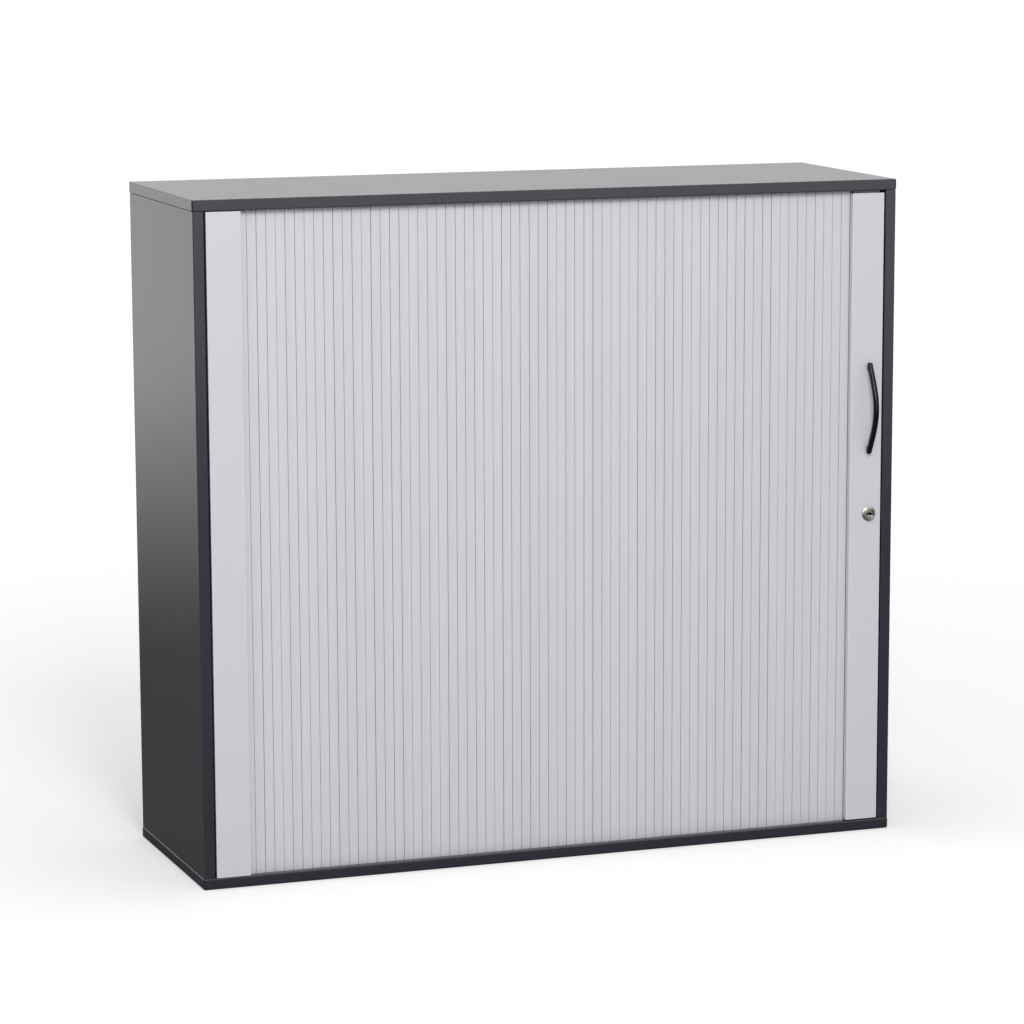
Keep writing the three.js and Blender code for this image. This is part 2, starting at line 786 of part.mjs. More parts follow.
function leadingPanel() {
  const wallFront = panelFace - cutOverrun;
  const wallRear = panelFace + panelWall + cutOverrun;
  const screwBores = handleScrewHeights().map((z) =>
    cylinderY(handleScrewRadius + seatGap, wallFront, wallRear, [handleX, z]));
  const lockBore = cylinderY(lockBodyRadius + seatGap, wallFront, wallRear, lockCentre, 24);
  const wallInside = leadingRight - panelWall - lockX;
  const hookLow = lockHeight + thrownArmRise(wallInside) - strikePlay;
  const hookHigh = lockHeight + Math.sqrt((hookOuterRadius + strikePlay) ** 2 - wallInside ** 2);
  const hookSlot = block(
    [leadingRight - panelWall - cutOverrun, hookChannelFront, hookLow],
    [leadingRight + cutOverrun, hookChannelRear, hookHigh],
  );
  const body = upright(leadingOutline(), panelLow, panelHigh, 3);
  return cut(body, [lockBore, hookSlot, ...screwBores]);
}

// An end cap: cover plate notched for the bead, plug inside the section and tongue in the track
function panelCap(plateLow, plugLow, tongueLow, tongueHigh) {
  const notchFront = curtainBack - hookBead - hookPlay;
  const shape = panelFaceOutline(leadingLeft, leadingRight, leftReturnDepth, leadingPanelDepth);
  shape.lineTo(socketLeft, leadingRear);
  shape.lineTo(socketLeft, notchFront);
  shape.lineTo(beadLeft - hookPlay, notchFront);
  shape.lineTo(beadLeft - hookPlay, panelFace + leftReturnDepth);
  const plate = upright(shape, plateLow, plateLow + capThickness, 3);
  const plug = block(
    [socketLeft + socketWall + seatGap, panelFace + panelWall + seatGap, plugLow],
    [
      leadingRight - panelWall - seatGap,
      leadingRear - panelWall - seatGap,
      plugLow + capPlugHeight + capThickness,
    ],
  );
  const tongue = block(
    [socketLeft, frontRunY - slatThickness / 2, tongueLow],
    [leadingRight - glideInset, curtainBack, tongueHigh],
  );
  return join([plate, plug, tongue]);
}

function lowerCap() {
  const plateHigh = leadingBottom + capThickness;
  return panelCap(leadingBottom, leadingBottom, curtainBottom, plateHigh);
}

function upperCap() {
  const plateLow = leadingTop - capThickness;
  return panelCap(plateLow, plateLow - capPlugHeight, plateLow, curtainTop);
}

// The bow's axis at a distance from its end: its place on Y and how steeply it rises there
function bowAxisY(along) {
  const swell = Math.max(Math.sin(Math.PI * along / handleLength), 0);
  return panelFace - handleEndRadius + handleFootFlat - handleReach * swell ** bowFullnessShare;
}

function bowSlope(along) {
  const phase = Math.PI * along / handleLength;
  const lean = Math.max(Math.sin(phase), 0) ** (bowFullnessShare - 1) * Math.cos(phase);
  return handleReach * bowFullnessShare * Math.PI / handleLength * lean;
}

// A foot under each end of the bow, from its axis down to the panel
function handleFoot(end) {
  const steps = 6;
  const seat = panelFace + cutOverrun;
  const height = (along) => handleCentreHeight + end * (handleLength / 2 - along);
  const foot = new THREE.Shape();
  foot.moveTo(seat, height(handleEndRadius));
  for (let step = 0; step <= steps; step += 1) {
    const along = handleEndRadius + (handleFootLength - handleEndRadius) * step / steps;
    foot.lineTo(bowAxisY(along), height(along));
  }
  foot.lineTo(seat, height(handleFootLength));
  foot.closePath();
  return alongX(foot, handleX - handleFootWidth / 2, handleX + handleFootWidth / 2);
}

// The handle: a turned rod with domed ends, bent into a bow that stands on two feet
function pullHandle() {
  const rings = 26;
  const dome = handleEndRadius;
  const domeShares = [0, 0.15, 0.5];
  const places = domeShares.map((share) => dome * share);
  for (let ring = 0; ring <= rings; ring += 1) {
    places.push(dome + (handleLength - 2 * dome) * ring / rings);
  }
  places.push(...domeShares.map((share) => handleLength - dome * share).reverse());
  const outline = places.map((along) => {
    const swell = Math.sin(Math.PI * along / handleLength);
    const full = handleEndRadius + (handleMiddleRadius - handleEndRadius) * swell;
    const fromEnd = Math.min(along, handleLength - along, dome) / dome;
    return new THREE.Vector2(full * Math.sqrt(Math.max(1 - (1 - fromEnd) ** 2, 0)), along);
  });
  const geometry = new THREE.LatheGeometry(outline, 12);
  const spots = geometry.attributes.position;
  for (let index = 0; index < spots.count; index += 1) {
    const along = spots.getY(index);
    const slope = bowSlope(along);
    const length = Math.hypot(1, slope);
    const out = spots.getZ(index);
    const axisZ = handleCentreHeight - handleLength / 2 + along;
    spots.setXYZ(
      index,
      handleX + spots.getX(index),
      bowAxisY(along) - out / length,
      axisZ - out * slope / length,
    );
  }
  const top = panelFace - seatGap;
  const wall = block(
    [handleX - handleLength, top, handleCentreHeight - handleLength],
    [handleX + handleLength, panelFace + handleLength, handleCentreHeight + handleLength],
  );
  const boreDepth = top - handleScrewGrip - seatGap;
  const bores = handleScrewHeights().map((z) =>
    cylinderY(handleScrewRadius + seatGap, boreDepth, top + cutOverrun, [handleX, z], 10));
  const whole = join([toSolid(geometry), handleFoot(-1), handleFoot(1)]);
  return cut(whole, [wall, ...bores]);
}

function handleScrew(z) {
  const tip = panelFace - seatGap - handleScrewGrip;
  const headFront = panelFace + panelWall + seatGap;
  const headRear = headFront + handleScrewHeadHeight;
  return turnedAlongY([
    [0, tip],
    [handleScrewRadius, tip],
    [handleScrewRadius, headFront],
    [handleScrewHeadRadius, headFront],
    [handleScrewHeadRadius, headFront + handleScrewHeadHeight / 2],
    [handleScrewHeadRadius / 2, headRear],
    [0, headRear],
  ], [handleX, z], 12);
}

// The lock's fixed barrel: coned flange and step outside, threaded body through the panel
function lockBarrel() {
  const seat = panelFace - seatGap;
  const flangeFront = seat - lockFlangeThickness;
  const bore = plugRadius + seatGap;
  return turnedAlongY([
    [bore, lockBack],
    [bore, lockFront + lockChamfer],
    [bore + lockChamfer, lockFront],
    [lockStepRadius - lockChamfer, lockFront],
    [lockStepRadius, lockFront + lockChamfer],
    [lockStepRadius, flangeFront],
    [lockFlangeRadius, seat - lockFlangeRim],
    [lockFlangeRadius, seat],
    [lockBodyRadius, seat],
    [lockBodyRadius, lockBack],
    [bore, lockBack],
  ], lockCentre, 28);
}

function lockNut() {
  const corner = lockNutWidth / 2 / Math.cos(Math.PI / 6);
  const corners = Array.from({ length: 6 }, (_, side) => new THREE.Vector2(
    lockX + corner * Math.cos(side * Math.PI / 3),
    lockHeight + corner * Math.sin(side * Math.PI / 3),
  ));
  const front = panelFace + panelWall + seatGap;
  const hole = cylinderY(
    lockBodyRadius + seatGap,
    front - cutOverrun,
    front + lockNutThickness + cutOverrun,
    lockCentre,
    28,
  );
  return cut(alongY(new THREE.Shape(corners), front, front + lockNutThickness), [hole]);
}

// The plug turns with the key: keyway at the front, square tail for the cam
function lockPlug() {
  const front = lockFront + plugRecess;
  const plug = turnedAlongY([
    [0, front],
    [plugRadius - lockChamfer / 2, front],
    [plugRadius, front + lockChamfer / 2],
    [plugRadius, lockBack - seatGap],
    [0, lockBack - seatGap],
  ], lockCentre, 24);
  const halfTail = plugTailWidth / 2;
  const tail = block(
    [lockX - halfTail, lockBack - cutOverrun, lockHeight - halfTail],
    [lockX + halfTail, camBack - seatGap, lockHeight + halfTail],
  );
  const keyway = block(
    [lockX - keywayLength / 2, front - cutOverrun, lockHeight - keywayHeight / 2],
    [lockX + keywayLength / 2, front + keywayDepth, lockHeight + keywayHeight / 2],
  );
  const ward = block(
    [lockX - keywayWardLength / 2, front - cutOverrun, lockHeight],
    [
      lockX + keywayWardLength / 2,
      front + keywayDepth,
      lockHeight + keywayHeight / 2 + keywayWardHeight,
    ],
  );
  const bore = cylinderY(
    camScrewRadius + seatGap,
    camBack - camScrewGrip - seatGap,
    camBack + cutOverrun,
    lockCentre,
    10,
  );
  return cut(join([plug, tail]), [keyway, ward, bore]);
}

// The cam at rest: hub, arm and an arc hook that turns about the lock's own axis
function hookCam() {
  const hub = cylinderY(camHubRadius, camFront, camBack, lockCentre, 20);
  const hook = new THREE.Shape();
  hook.absarc(lockX, lockHeight, hookOuterRadius, hookTipAngle, hookRootAngle, false);
  hook.absarc(lockX, lockHeight, camHookInnerRadius, hookRootAngle, hookTipAngle, true);
  const armShape = new THREE.Shape();
  const along = new THREE.Vector2(Math.cos(camArmAngle), Math.sin(camArmAngle));
  const across = new THREE.Vector2(-along.y, along.x).multiplyScalar(camArmWidth / 2);
  const centre = new THREE.Vector2(lockX, lockHeight);
  const reach = camHookInnerRadius + camHookWidth / 2;
  const tip = centre.clone().addScaledVector(along, reach);
  armShape.moveTo(centre.x - across.x, centre.y - across.y);
  armShape.lineTo(tip.x - across.x, tip.y - across.y);
  armShape.lineTo(tip.x + across.x, tip.y + across.y);
  armShape.lineTo(centre.x + across.x, centre.y + across.y);
  const halfHole = plugTailWidth / 2 + seatGap;
  const hole = block(
    [lockX - halfHole, camFront - cutOverrun, lockHeight - halfHole],
    [lockX + halfHole, camBack + cutOverrun, lockHeight + halfHole],
  );
  const whole = join([
    hub,
    alongY(armShape, camFront, camBack),
    alongY(hook, camFront, camBack, 12),
  ]);
  return cut(whole, [hole]);
}

function camScrew() {
  const headFront = camBack + seatGap;
  const headRear = headFront + camScrewHeadHeight;
  const tip = camBack - camScrewGrip;
  return turnedAlongY([
    [0, tip],
    [camScrewRadius, tip],
    [camScrewRadius, headFront],
    [camScrewHeadRadius, headFront],
    [camScrewHeadRadius, headRear - lockChamfer],
    [camScrewHeadRadius - lockChamfer, headRear],
    [0, headRear],
  ], lockCentre, 14);
}

function doorBuffer(z) {
  return cylinderX(bufferRadius, bufferFace, bufferFace + bufferThickness, [bufferY, z], 16);
}

// Carcass
place("top_panel", topPanel(), carcassFinish);
place("bottom_panel", bottomPanel(), carcassFinish);
place("left_side_panel", leftSidePanel(), carcassFinish);
place("right_side_panel", rightSidePanel(), carcassFinish);
place("back_panel", backPanel(), backFinish);
place("inner_back_panel", innerBackPanel(), backFinish);
place("left_liner_panel", linerPanel(), carcassFinish);
for (let bay = 1; bay < shelfBays; bay += 1) {
  const name = bay === 1 ? "middle_partition" : `middle_partition_${bay}`;
  place(name, partition(bay), carcassFinish);
}

// Cam fittings, named by side, end and height
for (const { side, y, end } of fittingSpots) {
  const sideName = side < 0 ? "left" : "right";
  place(`cam_fitting_${sideName}_${end}_upper`, camFitting(side, y, 1), zincFinish);
  place(`cam_fitting_${sideName}_${end}_lower`, camFitting(side, y, -1), zincFinish);
}

// Shelves on four pins each
const levelNames = ["lower", "upper"];
const bayNames = ["left", "right"];
for (let level = 0; level < shelfLevels; level += 1) {
  const shelfBottom = shelfBottoms[level];
  for (let bay = 0; bay < shelfBays; bay += 1) {
    const label = `${levelNames[level] ?? level + 1}_${bayNames[bay] ?? bay + 1}`;
    const left = bayLeft(bay);
    const right = left + baySpan;
    const [frontY, rearY] = pinPlacesY;
    const z = pinHeight(shelfBottom);
    place(`shelf_${label}`, shelf(bay, shelfBottom), carcassFinish);
    place(`shelf_pin_${label}_a`, shelfPin(left, -1, frontY, z), steelFinish);
    place(`shelf_pin_${label}_b`, shelfPin(left, -1, rearY, z), steelFinish);
    place(`shelf_pin_${label}_c`, shelfPin(right, 1, frontY, z), steelFinish);
    place(`shelf_pin_${label}_d`, shelfPin(right, 1, rearY, z), steelFinish);
  }
}

// Tracks and their end stops
place("upper_guide_track", upperTrack(), trackFinish);
place("lower_guide_track", lowerTrack(), trackFinish);
place("track_stop_upper", trackStop(ceiling, ceiling + trackDepth - trackWall - 2 * seatGap), trackFinish);
place("track_stop_lower", trackStop(curtainBottom, floorTop), trackFinish);

// Fixed panel and its clips
place("fixed_front_panel", fixedFrontPanel(), panelFinish);
place("fixed_panel_clip_lower", panelClip(standLow), glideFinish);
place("fixed_panel_clip_upper", panelClip(standHigh - clipHeight), glideFinish);

// Strike side
place("strike_plate", strikePlate(), steelFinish);
const [bufferLow, bufferHigh] = bufferSpots();
place("door_buffer_lower", doorBuffer(bufferLow), rubberFinish);
place("door_buffer_upper", doorBuffer(bufferHigh), rubberFinish);

// Sliding door
place("shutter_curtain", shutterCurtain(), slatFinish);
place("leading_panel", leadingPanel(), panelFinish);
place("leading_cap_lower", lowerCap(), glideFinish);
place("leading_cap_upper", upperCap(), glideFinish);
place("pull_handle", pullHandle(), handleFinish);
const [screwLow, screwHigh] = handleScrewHeights();
place("handle_screw_lower", handleScrew(screwLow), steelFinish);
place("handle_screw_upper", handleScrew(screwHigh), steelFinish);
place("lock_barrel", lockBarrel(), nickelFinish);
place("lock_nut", lockNut(), steelFinish);
place("lock_plug", lockPlug(), nickelFinish);
place("hook_cam", hookCam(), steelFinish);
place("cam_screw", camScrew(), steelFinish);

export default cabinet;
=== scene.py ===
"""Dresses the tambour door cabinet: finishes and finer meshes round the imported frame, in metres."""

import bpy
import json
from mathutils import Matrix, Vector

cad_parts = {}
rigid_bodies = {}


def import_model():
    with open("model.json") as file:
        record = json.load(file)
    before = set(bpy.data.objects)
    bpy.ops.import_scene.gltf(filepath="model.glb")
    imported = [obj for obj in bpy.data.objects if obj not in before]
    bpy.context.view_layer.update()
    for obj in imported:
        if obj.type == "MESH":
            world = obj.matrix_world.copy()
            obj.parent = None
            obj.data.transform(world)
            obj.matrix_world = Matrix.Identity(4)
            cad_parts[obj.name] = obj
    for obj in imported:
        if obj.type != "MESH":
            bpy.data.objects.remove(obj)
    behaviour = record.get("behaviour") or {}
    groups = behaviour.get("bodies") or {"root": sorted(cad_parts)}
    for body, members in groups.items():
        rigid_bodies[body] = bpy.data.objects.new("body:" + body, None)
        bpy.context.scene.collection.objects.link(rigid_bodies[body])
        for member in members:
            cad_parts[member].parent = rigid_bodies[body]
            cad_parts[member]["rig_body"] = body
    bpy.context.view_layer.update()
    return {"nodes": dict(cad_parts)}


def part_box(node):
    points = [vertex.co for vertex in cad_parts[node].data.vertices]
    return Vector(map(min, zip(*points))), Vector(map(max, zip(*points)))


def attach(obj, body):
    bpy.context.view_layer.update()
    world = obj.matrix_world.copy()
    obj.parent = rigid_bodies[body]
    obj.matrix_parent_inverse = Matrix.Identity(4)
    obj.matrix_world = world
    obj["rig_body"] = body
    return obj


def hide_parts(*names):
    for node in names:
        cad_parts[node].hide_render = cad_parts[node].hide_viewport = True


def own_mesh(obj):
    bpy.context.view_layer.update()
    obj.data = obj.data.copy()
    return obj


bl_info = {
    "name": "Tambour Door Cabinet",
    "version": (1, 1, 0),
    "blender": (4, 5, 0),
    "location": "3D View > Sidebar > Cabinet",
    "description": "Builds the finished look of a cabinet with a sideways slatted curtain door",
    "category": "Object",
}

import json
import math
import random

import bmesh
import bpy
from bpy.props import FloatProperty, FloatVectorProperty, IntProperty, PointerProperty
from mathutils import Matrix, Vector

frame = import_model()
NODES = frame["nodes"]

MM = 0.001
WELD = 0.002 * MM
FLAT = math.radians(0.4)
SMOOTH_BELOW = math.radians(38)
SHARP_ABOVE = math.radians(50)
QUARTER = math.pi / 2
STEEP = math.sqrt(0.5)
X, Y, Z = range(3)
NOISE_LOW = 0.3
NOISE_HIGH = 0.7
ARC_STEPS = 5
SLAT_SEED = 7
SLAT_TILT = 0.004
BOARD = ("board_face", "board_edge_band")


def length(name, description, millimetres):
    """A size that a user may change: given here in millimetres and kept in metres."""
    return FloatProperty(
        name=name, description=description, default=millimetres * MM, min=0, precision=5,
        unit="LENGTH",
    )


def colour(name, description, default):
    """A colour that a user may change, in linear values."""
    return FloatVectorProperty(
        name=name, description=description, default=default, min=0, max=1, size=3, subtype="COLOR"
    )


def level(name, description, default):
    """A plain number that a user may change."""
    return FloatProperty(name=name, description=description, default=default, min=0)


class CabinetSizes(bpy.types.PropertyGroup):
    """Sizes of the finer shapes that the frame doesn't give."""

    seat_gap: length("Seat gap", "Gap between pieces that touch", 0.3)
    eased_edge: length("Eased edge", "Rounding of plain sharp edges", 0.35)
    metal_edge: length("Metal edge", "Rounding of small metal pieces", 0.2)
    board_arris: length("Board arris", "Rounding of the sides' and shelves' edges", 0.4)
    panel_arris: length("Panel arris", "Rounding of the front panels' edges", 0.3)
    board_corner: length("Board corner", "Rounding of the top and bottom boards in plan", 4)
    board_edge: length("Board edge", "Rounding of the top and bottom boards' edges", 2)
    board_foot: length("Board foot", "Rounding under the bottom board", 3)
    track_turn: length("Track turn", "Radius of the curtain's path round a corner", 35)
    track_width: length("Track width", "Width of the plastic track", 9.9)
    slat_pitch: length("Slat pitch", "From one slat to the next", 15.62)
    slat_groove: length("Slat groove", "Width of the groove between two slats", 0.55)
    slat_thickness: length("Slat thickness", "Thickness of the curtain", 5)
    slat_shoulder: length("Slat shoulder", "Rounding of a slat's front edges", 0.3)
    slat_hinge: length("Slat hinge", "Thickness of the strip between two slats", 0.9)
    slat_crown: length("Slat crown", "How far a slat's face is bowed", 0.07)
    slat_play: length("Slat play", "How far a slat's edges stray", 0.14)
    tail_slats: IntProperty(name="Tail slats", description="Slats round the corner", default=5)
    bead: length("Bead", "Side of the bead that the pull panel hooks", 3)
    handle_end: length("Handle end radius", "Radius of the handle at its ends", 4.6)
    handle_middle: length("Handle middle radius", "Radius of the handle at its middle", 4.8)
    handle_flat: length("Handle flat", "Depth of the flat that the handle stands on", 0.7)
    handle_foot_width: length("Handle foot width", "Width of a foot of the handle", 5)
    handle_foot_length: length("Handle foot length", "How far a foot reaches from the end", 13)
    handle_fullness: level("Handle fullness", "Power of the sine that the bow follows", 1.2)
    lock_step: length("Lock step", "Radius of the lock's front ring", 9.6)
    lock_body: length("Lock body", "Radius of the lock behind the panel", 8.9)
    lock_bore: length("Lock bore", "Radius of the bore for the plug", 7.1)
    lock_flange: length("Lock flange", "Height of the flange's cone", 2)
    lock_rim: length("Lock rim", "Thickness of the flange's rim", 0.8)
    lock_chamfer: length("Lock chamfer", "Chamfer of the front ring", 0.7)
    keyway_reach: length("Keyway reach", "How far the keyway lies from the plug's axis", 5.4)
    keyway_depth: length("Keyway depth", "Depth of the keyway", 5.3)
    keyway_mouth: length("Keyway mouth", "How far the keyway's mouth is flared", 0.6)
    pin_shank: length("Pin shank", "Radius of a shelf pin in the wood", 2.5)
    pin_nose: length("Pin nose", "Radius of a shelf pin under the shelf", 3.4)
    pin_nose_length: length("Pin nose length", "How far a shelf pin stands out", 8)
    pin_collar: length("Pin collar", "Thickness of a shelf pin's collar", 1.6)
    fitting_depth: length("Fitting depth", "Depth of a cam fitting's disc", 12.5)
    fitting_bolt: length("Fitting bolt", "Radius of a cam fitting's bolt", 3)
    fitting_cross: length("Fitting cross", "Half length of the cross slot", 4.2)
    fitting_slot: length("Fitting slot", "Half width of the cross slot", 0.8)
    fitting_recess: length("Fitting recess", "Depth of the cross slot", 3)


class CabinetColours(bpy.types.PropertyGroup):
    """Colours of the finishes."""

    board_face: colour("Board face", "Anthracite faced board", (0.050, 0.050, 0.053))
    board_edge: colour("Board edge", "Anthracite edge band", (0.026, 0.027, 0.038))
    back_board: colour("Back board", "Thin anthracite board", (0.056, 0.058, 0.066))
    panel: colour("Front panels", "Cool light grey", (0.586, 0.596, 0.632))
    slat: colour("Slats", "Light grey", (0.594, 0.586, 0.618))
    track: colour("Track", "Dark grey plastic", (0.042, 0.045, 0.055))
    glide: colour("Glides", "Mid grey plastic", (0.266, 0.275, 0.291))
    handle: colour("Handle", "Near black powder coat", (0.004, 0.004, 0.006))
    nickel: colour("Lock", "Satin nickel", (0.48, 0.46, 0.42))
    # Painted shade: the near black inside of the keyway.
    keyway_shade: colour("Key slot", "Dark inside of the keyway", (0.006, 0.005, 0.005))
    steel: colour("Steel", "Bright zinc plating", (0.45, 0.46, 0.47))
    zinc: colour("Fittings", "Cast zinc", (0.33, 0.335, 0.345))
    rubber: colour("Buffers", "Black rubber", (0.020, 0.020, 0.023))
    floor: colour("Floor", "Pale studio floor", (0.80, 0.80, 0.80))
    card: colour("Shade card", "What the lower faces mirror", (0.14, 0.14, 0.142))
    side_card: colour("Side cards", "What faces turned sideways mirror", (0.045, 0.045, 0.050))


class CabinetStage(bpy.types.PropertyGroup):
    """Light levels and reaches of the stage."""

    fill: level("Fill", "Level of the soft light all round", 0.55)
    key: level("Key", "Power of the soft box in front", 130)
    foot_lift: level("Foot lift", "Glow of the floor at the object", 0.30)
    near_lift: level("Near lift", "Glow of the floor near the object", 0.36)
    far_lift: level("Far lift", "Glow of the floor far away", 0.60)
    near_reach: length("Near reach", "How far from the object the near glow is reached", 300)
    far_reach: length("Far reach", "How far from the object the floor reads white", 4000)
    shade_near: length("Shade near", "Where the dark card begins to clear", 3000)
    shade_far: length("Shade far", "Where the dark card is clear", 7600)
    shade_shift: length("Shade shift", "How far in front the dark card's middle lies", 1000)


def sizes():
    return bpy.context.scene.cabinet_sizes


def colours():
    return bpy.context.scene.cabinet_colours


def plug_face():
    """The middle of the lock's plug, and where its front face lies."""
    low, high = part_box("lock_plug")
    return (low + high) / 2, low.y


# Meshes


def link(name, data):
    """A new object in the scene."""
    made = bpy.data.objects.new(name, data)
    bpy.context.scene.collection.objects.link(made)
    return made


def object_of(form, name):
    """Makes an object of a form, and frees the form."""
    mesh = bpy.data.meshes.new(name)
    form.to_mesh(mesh)
    form.free()
    return link(name, mesh)


def flatten_faces(piece):
    """Lets the broad faces set the normals, so that a flat face stays flat beside a rounding."""
    modifier = piece.modifiers.new("weighted_normal", "WEIGHTED_NORMAL")
    modifier.keep_sharp = True
    modifier.weight = 100


def smooth(mesh):
    """Smooth shading that keeps the sharp edges."""
    mesh.shade_smooth()
    mesh.set_sharp_from_angle(angle=SMOOTH_BELOW)


def finished(form, name, node, finishes, body=None, flat=True):
    """Makes the form a piece that rides on its node's body and stands for that CAD node."""
    bmesh.ops.recalc_face_normals(form, faces=form.faces)
    piece = object_of(form, name)
    smooth(piece.data)
    for finish in finishes:
        piece.data.materials.append(bpy.data.materials[finish])
    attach(piece, body or NODES[node]["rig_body"])
    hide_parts(node)
    if flat:
        flatten_faces(piece)
    return piece


def ease(form, width, segments=2):
    """Rounds the form's convex sharp edges."""
    edges = [
        edge for edge in form.edges
        if edge.is_manifold and edge.is_convex and edge.calc_face_angle(0) > SHARP_ABOVE
    ]
    bmesh.ops.bevel(
        form, geom=edges, offset=width, segments=segments, profile=0.5, affect="EDGES",
        clamp_overlap=True,
    )


def face_slots(mesh, thin_axis):
    """Faces across the thin axis take the second material: the edge band."""
    for face in mesh.polygons:
        face.material_index = 0 if abs(face.normal[thin_axis]) > STEEP else 1


def dress(node, finishes, width, thin_axis=None, reshape=None):
    """A finer copy of a CAD node, with its sharp edges eased by a width."""
    form = bmesh.new()
    form.from_mesh(NODES[node].data)
    bmesh.ops.remove_doubles(form, verts=form.verts, dist=WELD)
    bmesh.ops.dissolve_limit(form, angle_limit=FLAT, verts=form.verts, edges=form.edges)
    if reshape:
        reshape(form)
    ease(form, width)
    piece = finished(form, f"{node}_fine", node, finishes)
    if thin_axis is not None:
        face_slots(piece.data, thin_axis)
    return piece


def dress_all(nodes, finishes, width, thin_axis=None):
    for node in nodes:
        dress(node, finishes, width, thin_axis)


def bridge(form, rings, closed=True):
    """Joins each ring of vertices to the next by quads."""
    for first, second in zip(rings, rings[1:]):
        count = len(first)
        for index in range(count if closed else count - 1):
            after = (index + 1) % count
            form.faces.new((first[index], first[after], second[after], second[index]))


def loft(points, caps=True):
    """A bmesh through rings of points, closed at both ends if caps is set."""
    form = bmesh.new()
    rings = [[form.verts.new(point) for point in ring] for ring in points]
    bridge(form, rings)
    if caps:
        form.faces.new(rings[0])
        form.faces.new(rings[-1])
    return form


def upright(outline, heights):
    """A prism over an outline in plan, from one height to the other."""
    return loft([[(x, y, z) for x, y in outline] for z in heights])


def turned(outline, centre, axis, segments, hollow=False):
    """A turned form round an axis: its outline is radius and place along the axis."""
    across = [other for other in (X, Y, Z) if other != axis]
    rings = []
    for radius, along in outline:
        ring = []
        for step in range(segments):
            angle = 2 * math.pi * step / segments
            point = Vector(centre)
            point[axis] = along
            point[across[0]] += radius * math.cos(angle)
            point[across[1]] += radius * math.sin(angle)
            ring.append(point)
        rings.append(ring)
    form = loft(rings, caps=not hollow)
    if hollow:
        form.verts.ensure_lookup_table()
        bridge(form, [form.verts[:segments], form.verts[-segments:]])
    return form


def arc(radius, start, end, steps):
    """Offsets along an arc from one angle to another."""
    turns = [start + (end - start) * step / steps for step in range(steps + 1)]
    return [(radius * math.cos(turn), radius * math.sin(turn)) for turn in turns]


def rounded_outline(low, high, radius, steps=8):
    """The arcs of a rounded rectangle in plan: each point's arc centre and its angle."""
    corners = [
        (high[X] - radius, low[Y] + radius, -QUARTER),
        (high[X] - radius, high[Y] - radius, 0),
        (low[X] + radius, high[Y] - radius, QUARTER),
        (low[X] + radius, low[Y] + radius, 2 * QUARTER),
    ]
    return [
        (x, y, start + step / steps * QUARTER)
        for x, y, start in corners
        for step in range(steps + 1)
    ]


def board_form(low, high, corner, top_edge, bottom_edge, steps=6):
    """A board with arcs at its corners in plan and rounded edges above and below."""
    outline = rounded_outline(low, high, corner)
    rings = []
    for edge, z, sign in ((bottom_edge, low[Z], -1), (top_edge, high[Z], 1)):
        turns = [step / steps * QUARTER for step in range(steps + 1)]
        for turn in turns if sign > 0 else reversed(turns):
            inset = edge * (1 - math.cos(turn))
            height = z - sign * edge * (1 - math.sin(turn))
            reach = corner - inset
            rings.append([
                (x + reach * math.cos(angle), y + reach * math.sin(angle), height)
                for x, y, angle in outline
            ])
    return loft(rings)


def combine(piece, other_form, operation):
    """Cuts a closed form out of a piece, or joins it to the piece, and removes the form."""
    bmesh.ops.recalc_face_normals(other_form, faces=other_form.faces)
    other = object_of(other_form, "other")
    modifier = piece.modifiers.new("combine", "BOOLEAN")
    modifier.operation = operation
    modifier.solver = "EXACT"
    modifier.object = other
    bpy.context.view_layer.update()
    evaluated = piece.evaluated_get(bpy.context.evaluated_depsgraph_get())
    result = bpy.data.meshes.new_from_object(evaluated)
    if not result.polygons:
        raise RuntimeError(f"nothing is left of {piece.name}")
    piece.modifiers.remove(modifier)
    bpy.data.objects.remove(other)
    old = piece.data
    piece.data = result
    result.name = old.name
    smooth(result)


# Node trees


